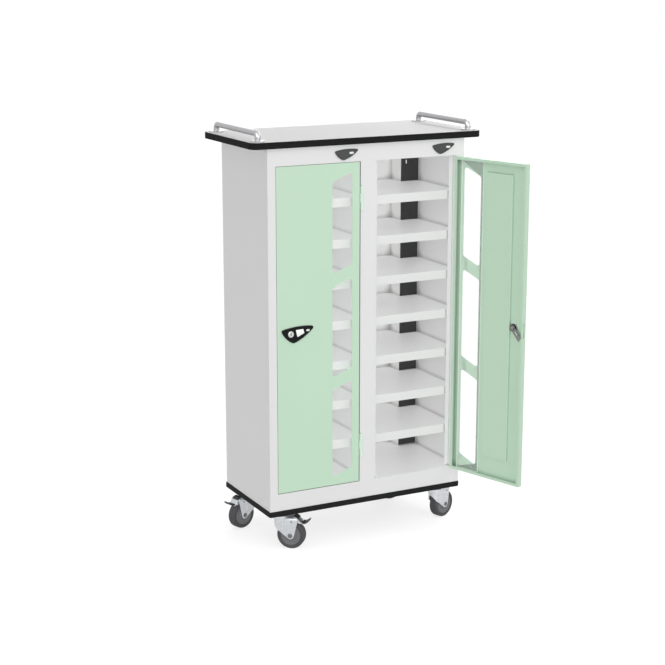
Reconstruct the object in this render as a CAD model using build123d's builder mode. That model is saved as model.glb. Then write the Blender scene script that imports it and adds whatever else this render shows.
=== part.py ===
from build123d import *

import math
import os

# A steel tablet charging trolley: two narrow lockers bolted side by side on a
# wheeled base board, under one worktop with two hand rails.
# Millimetres, +Z up. The trolley's origin is on the floor, midway between the
# casters: the seam between the lockers is at X = 0 and their fronts face -Y.
# A locker's own frame starts at its front left corner: X to the right, Y to
# the back, Z from the floor. A caster's own frame trails along +X.

# Lockers
CAB_W = 305.0
CAB_D = 305.0
CAB_H = 1016.0
SHEET = 1.2
BEND_R = 3.0
FIT = 0.1

# Base board and its bumper
CASTER_H = 108.0
BASE_T = 13.0
BUMPER_PROUD = 3.0
BUMPER_W = 6.0
BUMPER_RISE = 3.0
BUMPER_FIT = 0.3
BUMPER_EDGE_R = 2.4
BASE_CORNER_R = 7.0

# Worktop
TOP_T = 18.0
TOP_SIDE_OVERHANG = 50.0
TOP_FRONT_OVERHANG = 15.0
TOP_CORNER_R = 22.0
TOP_EDGE_T = 2.0
TOP_EDGE_R = 1.5

# Hand rails
RAIL_R = 8.0
RAIL_RISE = 22.0
RAIL_BEND_R = 12.0
RAIL_INSET = 30.0
RAIL_FLANGE_R = 20.0
RAIL_FLANGE_T = 3.0

# Front frame
STILE_W = 24.0
KICK_H = 52.0
HEADER_H = 49.0
RETURN_D = 18.0
STOP_W = 13.0

# Doors
DOOR_GAP = 1.3
HINGE_GAP = 2.4
DOOR_D = 16.0
DOOR_LIP_W = 8.0
LEFT_DOOR_REST = 0.0
RIGHT_DOOR_REST = 108.0

# Door windows, whose ends rise towards the hinge
WINDOW_COUNT = 3
WINDOW_W = 61.0
WINDOW_RISE = 25.0
WINDOW_BAR = 37.0
WINDOW_UP = 22.7
WINDOW_DOWN = 25.7
WINDOW_FROM_HINGE = 23.6
WINDOW_R = 8.0
PANE_T = 2.0
PANE_MARGIN = 9.0
PANE_END_GAP = 4.0

# Door stiffener, between the lock and the window pane
STIFF_DEPTH = 6.0
STIFF_LOCK_GAP = 2.7
STIFF_PANE_GAP = 14.0
STIFF_TOP_GAP = 35.0
STIFF_BOTTOM_GAP = 62.0

# Hinges
HINGE_H = 66.0
HINGE_LOW_UP = 107.7
HINGE_HIGH_DOWN = 98.7
KNUCKLE_R = 3.6
KNUCKLE_END_H = 20.0
KNUCKLE_GAP = 0.3
PIN_R = 1.8
PIN_CLEAR = 0.06
PIN_HEAD_R = 3.0
PIN_HEAD_H = 1.5
LEAF_T = 0.8
LEAF_D = 14.0
LEAF_MARGIN = 0.2

# Locks
LOCK_FROM_LATCH = 39.0
LOCK_Z = 628.0
SLEEVE_R = 11.0
SLEEVE_L = 7.5
BARREL_R = 7.2
BARREL_CLEAR = 0.06
BARREL_PROUD = 1.5
BARREL_EDGE = 0.7
KEYWAY_W = 2.4
KEYWAY_H = 8.0
KEYWAY_D = 4.0
STUD_R = 3.0
STUD_CLEAR = 0.05
CAM_GAP = 0.5
CAM_T = 2.0
CAM_W = 14.0
CAM_REACH = 44.0
CAM_REST = 50.0
NUT_R = 5.5
NUT_T = 3.0
CAM_SLOT_DOWN = 24.0
CAM_SLOT_UP = 21.0
CAM_SLOT_CLEAR = 1.5
LIP_NOTCH_W = 4.0
LIP_NOTCHES = ((-27.0, 9.0), (16.0, 29.0))

# Escutcheons and badges: rounded triangles with one point down
SHIELD_LEFT = 0.80
SHIELD_RIGHT = 0.92
SHIELD_POINT = 0.36
SHIELD_POINT_DROP = 0.12
SHIELD_BOW = 0.05
SHIELD_POINT_R = 0.32
SHIELD_SIDE_R = 0.11
SHIELD_T = 5.0
SHIELD_EDGE = 1.5
ESCUTCHEON_W = 102.0
ESCUTCHEON_H = 42.0
ESCUTCHEON_LEFT = 28.0
ESCUTCHEON_DOWN = 22.0
LABEL_D = 0.6
LABEL_R = 1.5
LABEL_CORNERS = ((14.9, 10.7), (37.7, 11.6), (41.4, -0.3), (19.5, -10.2))
LENS_OFF = (52.0, 6.5)
LENS_L = 11.0
LENS_H = 5.5
BADGE_W = 74.0
BADGE_H = 27.0
BADGE_FROM_STILE = 7.0
BADGE_DOWN = 13.0
BADGE_LENS_OFF = (50.0, 16.2)
BADGE_LENS_L = 14.0
BADGE_LENS_H = 6.0

# Shelves
SHELF_COUNT = 7
SHELF_FIRST_UP = 123.5
SHELF_LAST_DOWN = 150.5
SHELF_SETBACK = 24.0
SHELF_LIP_H = 24.0
SHELF_LIP_R = 1.0
SHELF_FLANGE_H = 12.0
SHELF_GAP = 0.3

# Charging column and socket strip in the back right corner of each locker
COLUMN_W = 63.0
COLUMN_D = 58.0
STRIP_W = 57.0
STRIP_T = 3.0
STRIP_EDGE = 1.0
STRIP_END_GAP = 3.0
NOTCH_CLEAR = 1.0
PORT_W = 13.2
PORT_H = 5.8
PORT_D = 2.0
TONGUE_H = 1.8
TONGUE_INSET = 1.2
PORT_PITCH = 24.0
PORT_DROP = 42.0

# Back vents and mains inlet
VENT_COUNT = 6
VENT_W = 120.0
VENT_H = 4.0
VENT_PITCH = 14.0
VENT_MARGIN = 90.0
INLET_W = 48.0
INLET_H = 28.0
INLET_FLANGE_T = 2.5
INLET_BODY_W = 28.0
INLET_BODY_H = 20.0
INLET_BODY_D = 30.0
INLET_WALL = 2.0
INLET_SOCKET_D = 20.0
INLET_PIN_W = 2.0
INLET_PIN_H = 4.0
INLET_PIN_L = 14.0
INLET_PIN_PITCH = 7.0
INLET_UP = 60.0

# Casters
CASTER_INSET_X = 52.0
CASTER_INSET_Y = 50.0
FRONT_LEFT_TURN = -42.0
BACK_LEFT_TURN = 198.0
FRONT_RIGHT_TURN = 20.0
BACK_RIGHT_TURN = 150.0
WHEEL_R = 40.0
WHEEL_W = 26.0
WHEEL_SHOULDER_R = 4.0
DISH_D = 3.0
RIM_R = 30.0
HUB_R = 10.0
HUB_GAP = 0.4
TRAIL = 35.0
AXLE_R = 4.0
AXLE_CLEAR = 0.06
AXLE_HEAD_R = 7.0
AXLE_HEAD_T = 3.0
PLATE_S = 64.0
PLATE_T = 3.0
PLATE_CORNER_R = 6.0
RACE_R = 20.0
RACE_H = 5.0
RACE_GAP = 0.4
HEAD_R = 27.0
HEAD_T = 8.0
HEAD_EDGE_R = 3.0
KINGPIN_R = 5.0
KINGPIN_CLEAR = 0.06
KINGPIN_HEAD_R = 8.0
KINGPIN_HEAD_T = 2.5
LEG_T = 2.5
LEG_GAP = 15.0
LEG_BOSS_R = 8.0
LEG_TOP_HALF = 20.0
EAR_R = 7.0
BOLT_PITCH = 46.0
BOLT_R = 3.0
BOLT_CLEAR = 0.1
BOLT_HEAD_R = 5.5
BOLT_HEAD_H = 4.0
BOLT_IN_BOARD = 10.0

# Brake pedals: pivot, release arm, bend and foot arm in the caster's X and Z
PEDAL_PIVOT = (50.0, 86.0)
PEDAL_TOP = (43.0, 97.0)
PEDAL_BEND = (70.0, 76.0)
PEDAL_TIP = (88.0, 86.0)
PEDAL_PIN_R = 2.5
PEDAL_PIN_CLEAR = 0.08
PEDAL_BOSS_R = 5.5
PEDAL_W = 27.0
PEDAL_T = 4.5

# Places worked out from the sizes
FRONT_Y = -CAB_D / 2
BACK_Y = CAB_D / 2
BODY_Z = CASTER_H + BASE_T
BODY_TOP_Z = BODY_Z + CAB_H
TOP_Z = BODY_TOP_Z + TOP_T
FLOOR_Z = BODY_Z + KICK_H
OPEN_TOP_Z = BODY_TOP_Z - HEADER_H
STILE_RIGHT = CAB_W - STILE_W
DOOR_LEFT = STILE_W + DOOR_GAP
DOOR_RIGHT = STILE_RIGHT - HINGE_GAP
DOOR_Z0 = FLOOR_Z + DOOR_GAP
DOOR_Z1 = OPEN_TOP_Z - DOOR_GAP
HINGE_X = STILE_RIGHT - LEAF_T - LEAF_MARGIN + KNUCKLE_R
HINGE_Y = -KNUCKLE_R
HINGE_ZS = (DOOR_Z0 + HINGE_LOW_UP, DOOR_Z1 - HINGE_HIGH_DOWN)
LOCK_X = DOOR_LEFT + LOCK_FROM_LATCH
CAM_Y = SLEEVE_L + CAM_GAP
WINDOW_X1 = DOOR_RIGHT - WINDOW_FROM_HINGE
WINDOW_X0 = WINDOW_X1 - WINDOW_W
WINDOW_BARS_H = (WINDOW_COUNT - 1) * WINDOW_BAR
WINDOWS_H = DOOR_Z1 - DOOR_Z0 - WINDOW_UP - WINDOW_DOWN - WINDOW_RISE - WINDOW_BARS_H
WINDOW_H = WINDOWS_H / WINDOW_COUNT
WINDOW_PITCH = WINDOW_H + WINDOW_BAR
SHELF_PITCH = (BODY_TOP_Z - SHELF_LAST_DOWN - FLOOR_Z - SHELF_FIRST_UP) / (SHELF_COUNT - 1)
INNER_R = CAB_W - SHEET
INNER_BACK = CAB_D - SHEET
COLUMN_X = INNER_R - COLUMN_W
COLUMN_Y = INNER_BACK - COLUMN_D
STRIP_Y = COLUMN_Y - STRIP_T
INLET_X = COLUMN_X + COLUMN_W / 2
INLET_Z = FLOOR_Z + INLET_UP
PLATE_Z = CASTER_H - PLATE_T
RACE_Z = PLATE_Z - RACE_H
HEAD_Z = RACE_Z - RACE_GAP - HEAD_T
LEG_OUTER = LEG_GAP + LEG_T

LOCKERS = {"left": -CAB_W, "right": 0.0}
DOOR_REST = {"left": LEFT_DOOR_REST, "right": RIGHT_DOOR_REST}
KINGPINS = {
    "front_left": (-CAB_W + CASTER_INSET_X, FRONT_Y + CASTER_INSET_Y),
    "back_left": (-CAB_W + CASTER_INSET_X, BACK_Y - CASTER_INSET_Y),
    "front_right": (CAB_W - CASTER_INSET_X, FRONT_Y + CASTER_INSET_Y),
    "back_right": (CAB_W - CASTER_INSET_X, BACK_Y - CASTER_INSET_Y),
}
CASTER_TURNS = {
    "front_left": FRONT_LEFT_TURN,
    "back_left": BACK_LEFT_TURN,
    "front_right": FRONT_RIGHT_TURN,
    "back_right": BACK_RIGHT_TURN,
}
BRAKED_CORNERS = ("front_left", "back_left")
PARTS_DIR = "parts"
CORNER = (Align.MIN, Align.MIN)


def save(part, name):
    """Label a finished piece and write it as a STEP file."""
    part.label = name
    export_step(part, f"{PARTS_DIR}/{name}.step")


def save_at(prototype, places, name):
    """Write copies of a prototype, standing where they belong, as one piece."""
    with BuildPart() as piece:
        with Locations(*places):
            add(prototype)
    save(piece.part, name)


def locker_place(side):
    """Where a locker's own frame stands in the trolley."""
    return Location((LOCKERS[side], FRONT_Y, 0))


def door_place(side):
    """Where a piece of the door goes, with the door turned on its hinge axis."""
    hinge = Location((HINGE_X, HINGE_Y, 0), (0, 0, DOOR_REST[side]))
    back_off = Location((-HINGE_X, -HINGE_Y, 0))
    return locker_place(side) * hinge * back_off


def caster_place(corner):
    """Where a caster's own frame stands, turned the way that it trails."""
    x, y = KINGPINS[corner]
    return Location((x, y, 0), (0, 0, CASTER_TURNS[corner]))


def slab(x0, x1, y0, y1, z0, z1, mode=Mode.ADD):
    """A block between two corners, in the part that is being built."""
    with Locations((x0, y0, z0)):
        Box(x1 - x0, y1 - y0, z1 - z0, align=(*CORNER, Align.MIN), mode=mode)


def shield_outline(width, height):
    """A rounded triangle with bowed sides, its long point low and left of centre."""
    left = (0, SHIELD_LEFT * height)
    right = (width, SHIELD_RIGHT * height)
    point = (SHIELD_POINT * width, -SHIELD_POINT_DROP * height)
    with BuildSketch() as shield:
        with BuildLine():
            SagittaArc(left, right, SHIELD_BOW * width)
            SagittaArc(right, point, SHIELD_BOW * width)
            SagittaArc(point, left, SHIELD_BOW * width)
        make_face()
        fillet(shield.vertices().sort_by(Axis.Y)[0], SHIELD_POINT_R * height)
        side_corners = shield.vertices().group_by(Axis.X)
        fillet([side_corners[0][0], side_corners[-1][0]], SHIELD_SIDE_R * height)
    return shield.sketch


# Worktop

def worktop():
    """The laminated board and the black edging glued round it."""
    width = 2 * (CAB_W + TOP_SIDE_OVERHANG)
    depth = CAB_D + 2 * TOP_FRONT_OVERHANG
    board_w = width - 2 * TOP_EDGE_T
    board_d = depth - 2 * TOP_EDGE_T
    board_r = TOP_CORNER_R - TOP_EDGE_T
    with BuildPart() as board:
        with BuildSketch(Plane.XY.offset(BODY_TOP_Z)):
            RectangleRounded(board_w, board_d, board_r)
        extrude(amount=TOP_T)
    save(board.part, "worktop_board")

    with BuildPart() as edging:
        with BuildSketch(Plane.XY.offset(BODY_TOP_Z)):
            RectangleRounded(width, depth, TOP_CORNER_R)
        extrude(amount=TOP_T)
        fillet(edging.faces().filter_by(Axis.Z).edges(), TOP_EDGE_R)
        with BuildSketch(Plane.XY.offset(BODY_TOP_Z)):
            RectangleRounded(board_w, board_d, board_r)
        extrude(amount=TOP_T, mode=Mode.SUBTRACT)
    save(edging.part, "worktop_edge")


def handrail(side, sign):
    """A bent tube with a round welded flange at each foot."""
    x = sign * (CAB_W + TOP_SIDE_OVERHANG - RAIL_INSET)
    reach = CAB_D / 2 + TOP_FRONT_OVERHANG - RAIL_INSET
    crown = TOP_Z + RAIL_RISE
    with BuildPart() as rail:
        with BuildLine() as route:
            FilletPolyline(
                (x, -reach, TOP_Z),
                (x, -reach, crown),
                (x, reach, crown),
                (x, reach, TOP_Z),
                radius=RAIL_BEND_R,
            )
        with BuildSketch(Plane(origin=(x, -reach, TOP_Z), z_dir=(0, 0, 1))):
            Circle(RAIL_R)
        sweep(path=route.line)
        with BuildSketch(Plane.XY.offset(TOP_Z)):
            with Locations((x, -reach), (x, reach)):
                Circle(RAIL_FLANGE_R)
        extrude(amount=RAIL_FLANGE_T)
    save(rail.part, f"{side}_handrail")


# Base

def base():
    """The board that the lockers and casters bolt to, and the bumper that laps over it."""
    inner_w = 2 * (CAB_W + BUMPER_PROUD - BUMPER_W)
    inner_d = CAB_D + 2 * (BUMPER_PROUD - BUMPER_W)
    inner_r = BASE_CORNER_R - BUMPER_W
    with BuildPart() as board:
        with BuildSketch(Plane.XY.offset(CASTER_H)):
            RectangleRounded(inner_w, inner_d, inner_r)
        extrude(amount=BASE_T)
        with BuildSketch(Plane.XY.offset(CASTER_H)):
            for centre in KINGPINS.values():
                with Locations(centre):
                    with GridLocations(BOLT_PITCH, BOLT_PITCH, 2, 2):
                        Circle(BOLT_R + BOLT_CLEAR)
        extrude(amount=BOLT_IN_BOARD, mode=Mode.SUBTRACT)
    save(board.part, "base_board")

    with BuildPart() as bumper:
        with BuildSketch(Plane.XY.offset(CASTER_H)):
            RectangleRounded(2 * (CAB_W + BUMPER_PROUD), CAB_D + 2 * BUMPER_PROUD, BASE_CORNER_R)
        extrude(amount=BASE_T + BUMPER_RISE)
        fillet(bumper.faces().filter_by(Axis.Z).edges(), BUMPER_EDGE_R)
        with BuildSketch(Plane.XY.offset(CASTER_H)):
            RectangleRounded(inner_w, inner_d, inner_r)
        extrude(amount=BASE_T, mode=Mode.SUBTRACT)
        foot_x = CAB_W + BUMPER_FIT
        foot_y = BACK_Y + BUMPER_FIT
        slab(-foot_x, foot_x, -foot_y, foot_y, BODY_Z, BODY_Z + BUMPER_RISE, Mode.SUBTRACT)
    save(bumper.part, "base_bumper")


# Locker bodies, each built in the locker's own frame

def cabinet_shell(side):
    """Both sides and the back, folded from one sheet, with vents in the back."""
    with BuildPart() as shell:
        slab(0, CAB_W, SHEET, CAB_D, BODY_Z, BODY_TOP_Z)
        fillet(shell.edges().filter_by(Axis.Z).group_by(Axis.Y)[-1], BEND_R)
        with BuildSketch(Plane.XY.offset(BODY_Z)) as room:
            with Locations((SHEET, SHEET)):
                Rectangle(CAB_W - 2 * SHEET, INNER_BACK - SHEET, align=CORNER)
            fillet(room.vertices().group_by(Axis.Y)[-1], BEND_R - SHEET)
        extrude(amount=CAB_H, mode=Mode.SUBTRACT)
        vent_rows = (VENT_COUNT - 1) * VENT_PITCH
        vent_z0 = FLOOR_Z + VENT_MARGIN
        vent_z1 = BODY_TOP_Z - VENT_MARGIN
        vent_centre = (COLUMN_X / 2, CAB_D, (vent_z0 + vent_z1) / 2)
        vent_middle = Plane(origin=vent_centre, z_dir=(0, 1, 0), x_dir=(-1, 0, 0))
        with BuildSketch(vent_middle):
            with GridLocations(VENT_W, vent_z1 - vent_z0 - vent_rows, 1, 2):
                with GridLocations(VENT_W, VENT_PITCH, 1, VENT_COUNT):
                    SlotOverall(VENT_W, VENT_H)
        extrude(amount=-SHEET, mode=Mode.SUBTRACT)
        if side == "right":
            half_w = INLET_BODY_W / 2 + FIT
            half_h = INLET_BODY_H / 2 + FIT
            hole_x = (INLET_X - half_w, INLET_X + half_w)
            slab(*hole_x, INNER_BACK, CAB_D, INLET_Z - half_h, INLET_Z + half_h, Mode.SUBTRACT)
    save_at(shell.part, [locker_place(side)], f"{side}_cabinet_shell")


def front_frame():
    """The face round the door opening, its returns, and the stops at the stiles."""
    with BuildPart() as frame:
        slab(0, CAB_W, 0, SHEET, BODY_Z, BODY_TOP_Z)
        slab(STILE_W, STILE_RIGHT, 0, SHEET, FLOOR_Z, OPEN_TOP_Z, Mode.SUBTRACT)
        slab(STILE_W - SHEET, STILE_W, 0, RETURN_D, FLOOR_Z, OPEN_TOP_Z + SHEET)
        slab(STILE_RIGHT, STILE_RIGHT + SHEET, 0, RETURN_D, FLOOR_Z, OPEN_TOP_Z + SHEET)
        slab(STILE_W, STILE_RIGHT, 0, RETURN_D, OPEN_TOP_Z, OPEN_TOP_Z + SHEET)
        stop_y = (RETURN_D, RETURN_D + SHEET)
        slab(STILE_W - SHEET, STILE_W + STOP_W, *stop_y, FLOOR_Z, OPEN_TOP_Z + SHEET)
        slab(STILE_RIGHT - STOP_W, STILE_RIGHT + SHEET, *stop_y, FLOOR_Z, OPEN_TOP_Z + SHEET)
        cam_slot(STILE_W - SHEET, STILE_W)
    return frame.part


def cam_slot(x0, x1):
    """Cut the slot that the lock's cam swings through."""
    slot_y = (CAM_Y - CAM_SLOT_CLEAR, CAM_Y + CAM_T + CAM_SLOT_CLEAR)
    slab(x0, x1, *slot_y, LOCK_Z - CAM_SLOT_DOWN, LOCK_Z + CAM_SLOT_UP, Mode.SUBTRACT)


def end_panel(z):
    """One sheet between the sides of a locker, its underside at a given height."""
    edge = SHEET + FIT
    with BuildPart() as panel:
        slab(edge, CAB_W - edge, SHEET, CAB_D - edge, z, z + SHEET)
        fillet(panel.edges().filter_by(Axis.Z).group_by(Axis.Y)[-1], BEND_R)
    return panel.part


def shelf(number):
    """One tray with a deep front lip, side flanges and a notch for the column."""
    z = FLOOR_Z + SHELF_FIRST_UP + (number - 1) * SHELF_PITCH
    left = SHEET + SHELF_GAP
    right = INNER_R - SHELF_GAP
    back = INNER_BACK - SHELF_GAP
    notch_x = COLUMN_X - NOTCH_CLEAR
    notch_y = STRIP_Y - NOTCH_CLEAR
    with BuildPart() as tray:
        slab(left, right, SHELF_SETBACK, back, z - SHEET, z)
        slab(left, right, SHELF_SETBACK, SHELF_SETBACK + SHEET, z - SHELF_LIP_H, z)
        slab(left, left + SHEET, SHELF_SETBACK, back, z - SHELF_FLANGE_H, z)
        slab(right - SHEET, right, SHELF_SETBACK, back, z - SHELF_FLANGE_H, z)
        slab(notch_x, right, notch_y, back, z - SHELF_FLANGE_H, z, Mode.SUBTRACT)
        top_front = tray.edges().filter_by(Axis.X).group_by(Axis.Z)[-1].sort_by(Axis.Y)[0]
        fillet(top_front, SHELF_LIP_R)
        back_left = tray.edges().filter_by(Axis.Z).group_by(Axis.Y)[-1].group_by(Axis.X)[0]
        fillet(back_left.sort_by(Edge.length)[-1], SHEET)
    return tray.part


# Charging gear

def charge_column():
    """The folded cover in front of the chargers, from floor to roof."""
    z1 = BODY_TOP_Z - SHEET
    with BuildPart() as column:
        slab(COLUMN_X, INNER_R, COLUMN_Y, COLUMN_Y + SHEET, FLOOR_Z, z1)
        slab(COLUMN_X, COLUMN_X + SHEET, COLUMN_Y, INNER_BACK, FLOOR_Z, z1)
    return column.part


def charge_strip():
    """The black strip down the column, with two charging ports to each bay."""
    x0 = COLUMN_X + STRIP_EDGE
    z0 = FLOOR_Z + STRIP_END_GAP
    z1 = BODY_TOP_Z - SHEET - STRIP_END_GAP
    with BuildPart() as strip:
        slab(x0, x0 + STRIP_W, STRIP_Y, COLUMN_Y, z0, z1)
        first_port = FLOOR_Z + SHELF_FIRST_UP - PORT_DROP
        ports_z = first_port + SHELF_COUNT * SHELF_PITCH / 2
        port_face = Plane(origin=(x0 + STRIP_W / 2, STRIP_Y, ports_z), z_dir=(0, -1, 0), x_dir=(1, 0, 0))
        with BuildSketch(port_face):
            with GridLocations(PORT_PITCH, SHELF_PITCH, 2, SHELF_COUNT + 1):
                Rectangle(PORT_W, PORT_H)
        extrude(amount=-PORT_D, mode=Mode.SUBTRACT)
        with BuildSketch(port_face):
            with GridLocations(PORT_PITCH, SHELF_PITCH, 2, SHELF_COUNT + 1):
                Rectangle(PORT_W - 2 * TONGUE_INSET, TONGUE_H)
        extrude(amount=-PORT_D)
    return strip.part


def mains_inlet():
    """A three-pin appliance inlet in the back of the right locker."""
    half_body_w = INLET_BODY_W / 2
    half_body_h = INLET_BODY_H / 2
    mouth = CAB_D + INLET_FLANGE_T
    with BuildPart() as inlet:
        slab(
            INLET_X - INLET_W / 2, INLET_X + INLET_W / 2, CAB_D, mouth,
            INLET_Z - INLET_H / 2, INLET_Z + INLET_H / 2,
        )
        fillet(inlet.edges().filter_by(Axis.Y), BEND_R)
        slab(
            INLET_X - half_body_w, INLET_X + half_body_w, CAB_D - INLET_BODY_D, CAB_D,
            INLET_Z - half_body_h, INLET_Z + half_body_h,
        )
        slab(
            INLET_X - half_body_w + INLET_WALL, INLET_X + half_body_w - INLET_WALL,
            mouth - INLET_SOCKET_D, mouth,
            INLET_Z - half_body_h + INLET_WALL, INLET_Z + half_body_h - INLET_WALL, Mode.SUBTRACT,
        )
        pin_root = Plane(origin=(INLET_X, mouth - INLET_SOCKET_D, INLET_Z), z_dir=(0, 1, 0), x_dir=(1, 0, 0))
        with BuildSketch(pin_root):
            with GridLocations(INLET_PIN_PITCH, INLET_PIN_H, 3, 1):
                Rectangle(INLET_PIN_W, INLET_PIN_H)
        extrude(amount=INLET_PIN_L)
    return inlet.part


# Doors, each built closed in the locker's own frame

def door():
    """The folded pan, with its windows, lock hole, cam slot and lip notches."""
    lip_y = DOOR_D - SHEET
    with BuildPart() as pan:
        slab(DOOR_LEFT, DOOR_RIGHT, 0, DOOR_D, DOOR_Z0, DOOR_Z1)
        fillet(pan.faces().sort_by(Axis.Y)[0].edges(), SHEET)
        inside = (DOOR_LEFT + SHEET, DOOR_RIGHT - SHEET)
        slab(*inside, SHEET, lip_y, DOOR_Z0 + SHEET, DOOR_Z1 - SHEET, Mode.SUBTRACT)
        mouth = (DOOR_LEFT + DOOR_LIP_W, DOOR_RIGHT - DOOR_LIP_W)
        slab(*mouth, lip_y, DOOR_D, DOOR_Z0 + DOOR_LIP_W, DOOR_Z1 - DOOR_LIP_W, Mode.SUBTRACT)
        with BuildSketch(Plane.XZ) as windows:
            for row in range(WINDOW_COUNT):
                z = DOOR_Z0 + WINDOW_UP + row * WINDOW_PITCH
                with BuildLine():
                    Polyline(
                        (WINDOW_X0, z),
                        (WINDOW_X1, z + WINDOW_RISE),
                        (WINDOW_X1, z + WINDOW_RISE + WINDOW_H),
                        (WINDOW_X0, z + WINDOW_H),
                        close=True,
                    )
                make_face()
            fillet(windows.vertices(), WINDOW_R)
        extrude(amount=-SHEET, mode=Mode.SUBTRACT)
        with BuildSketch(Plane.XZ):
            with Locations((LOCK_X, LOCK_Z)):
                Circle(SLEEVE_R + FIT)
        extrude(amount=-SHEET, mode=Mode.SUBTRACT)
        cam_slot(DOOR_LEFT, DOOR_LEFT + SHEET)
        lip_edge = DOOR_LEFT + DOOR_LIP_W
        for low, high in LIP_NOTCHES:
            slab(lip_edge - LIP_NOTCH_W, lip_edge, lip_y, DOOR_D, LOCK_Z + low, LOCK_Z + high, Mode.SUBTRACT)
    return pan.part


def window_pane():
    """The clear strip behind the three windows of a door."""
    with BuildPart() as pane:
        slab(
            WINDOW_X0 - PANE_MARGIN, WINDOW_X1 + PANE_MARGIN, SHEET, SHEET + PANE_T,
            DOOR_Z0 + PANE_END_GAP, DOOR_Z1 - PANE_END_GAP,
        )
    return pane.part


def door_stiffener():
    """The channel welded up the inside of a door, open at both ends."""
    x0 = LOCK_X + SLEEVE_R + STIFF_LOCK_GAP
    x1 = WINDOW_X0 - PANE_MARGIN - STIFF_PANE_GAP
    y1 = SHEET + STIFF_DEPTH
    z0 = DOOR_Z0 + STIFF_BOTTOM_GAP
    z1 = DOOR_Z1 - STIFF_TOP_GAP
    with BuildPart() as channel:
        slab(x0, x1, SHEET, y1, z0, z1)
        fillet(channel.edges().filter_by(Axis.Z).group_by(Axis.Y)[-1], SHEET)
        slab(x0 + SHEET, x1 - SHEET, SHEET, y1 - SHEET, z0, z1, Mode.SUBTRACT)
    return channel.part


# Hinges, each built about its own middle height on the hinge axis

def hinge_leaf(plate_x, spans):
    """One leaf: its plate in the gap beside the door, and its knuckles."""
    half = HINGE_H / 2
    wrap = (HINGE_Y - LEAF_T / 2, HINGE_Y + LEAF_T / 2)
    with BuildPart() as leaf:
        slab(plate_x, plate_x + LEAF_T, 0, LEAF_D, -half, half)
        for low, high in spans:
            slab(plate_x, plate_x + LEAF_T, HINGE_Y, 0, low, high)
            slab(plate_x, HINGE_X, *wrap, low, high)
            with BuildSketch(Plane.XY.offset(low)):
                with Locations((HINGE_X, HINGE_Y)):
                    Circle(KNUCKLE_R)
            extrude(amount=high - low)
        with BuildSketch(Plane.XY.offset(-half)):
            with Locations((HINGE_X, HINGE_Y)):
                Circle(PIN_R + PIN_CLEAR)
        extrude(amount=HINGE_H, mode=Mode.SUBTRACT)
    return leaf.part


def hinge_pin():
    """A plain pin with a low round head on top."""
    with BuildPart() as pin:
        with BuildSketch(Plane.XY.offset(-HINGE_H / 2)):
            with Locations((HINGE_X, HINGE_Y)):
                Circle(PIN_R)
        extrude(amount=HINGE_H)
        with BuildSketch(Plane.XY.offset(HINGE_H / 2)):
            with Locations((HINGE_X, HINGE_Y)):
                Circle(PIN_HEAD_R)
        extrude(amount=PIN_HEAD_H)
    return pin.part


def hinges():
    """Two hinges to a door: frame leaves, door leaves and pins."""
    half = HINGE_H / 2
    split = half - KNUCKLE_END_H
    frame_spans = ((-half, -split - KNUCKLE_GAP), (split + KNUCKLE_GAP, half))
    heights = [Location((0, 0, z)) for z in HINGE_ZS]
    on_frames = [locker_place(side) * height for side in LOCKERS for height in heights]
    save_at(hinge_leaf(STILE_RIGHT - LEAF_T, frame_spans), on_frames, "hinge_frame_leaves")
    save_at(hinge_pin(), on_frames, "hinge_pins")
    door_leaf = hinge_leaf(DOOR_RIGHT, ((-split, split),))
    for side in LOCKERS:
        on_door = [door_place(side) * height for height in heights]
        save_at(door_leaf, on_door, f"{side}_hinge_door_leaves")


# Locks, built in the locker's own frame with the door closed

def lock_housing():
    """The escutcheon on the door's face, with the sleeve that the barrel turns in."""
    outer = Plane.XZ.offset(SHIELD_T)
    with BuildPart() as housing:
        with BuildSketch(Plane.XZ):
            with Locations((LOCK_X - ESCUTCHEON_LEFT, LOCK_Z - ESCUTCHEON_DOWN)):
                add(shield_outline(ESCUTCHEON_W, ESCUTCHEON_H))
        extrude(amount=SHIELD_T)
        chamfer(housing.faces().sort_by(Axis.Y)[0].edges(), SHIELD_EDGE)
        with BuildSketch(outer) as seats:
            with BuildLine():
                Polyline(*((LOCK_X + x, LOCK_Z + z) for x, z in LABEL_CORNERS), close=True)
            make_face()
            fillet(seats.vertices(), LABEL_R)
            with Locations((LOCK_X + LENS_OFF[0], LOCK_Z + LENS_OFF[1])):
                SlotOverall(LENS_L, LENS_H)
        extrude(amount=-LABEL_D, mode=Mode.SUBTRACT)
        with BuildSketch(Plane.XZ):
            with Locations((LOCK_X, LOCK_Z)):
                Circle(SLEEVE_R)
        extrude(amount=-SLEEVE_L)
        with BuildSketch(outer):
            with Locations((LOCK_X, LOCK_Z)):
                Circle(BARREL_R + BARREL_CLEAR)
        extrude(amount=-SHIELD_T - SLEEVE_L, mode=Mode.SUBTRACT)
    return housing.part


def lock_barrel():
    """The round barrel with its keyway, and the stud that carries the cam."""
    nose = Plane(origin=(LOCK_X, -SHIELD_T - BARREL_PROUD, LOCK_Z), z_dir=(0, -1, 0), x_dir=(1, 0, 0))
    nose_to_cam = SHIELD_T + BARREL_PROUD + CAM_Y
    with BuildPart() as barrel:
        with BuildSketch(nose):
            Circle(BARREL_R)
        extrude(amount=-nose_to_cam)
        chamfer(barrel.faces().sort_by(Axis.Y)[0].edges(), BARREL_EDGE)
        with BuildSketch(nose):
            SlotOverall(KEYWAY_H, KEYWAY_W, rotation=90)
        extrude(amount=-KEYWAY_D, mode=Mode.SUBTRACT)
        with BuildSketch(nose.offset(-nose_to_cam)):
            Circle(STUD_R)
        extrude(amount=-CAM_T - NUT_T)
    return barrel.part


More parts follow.
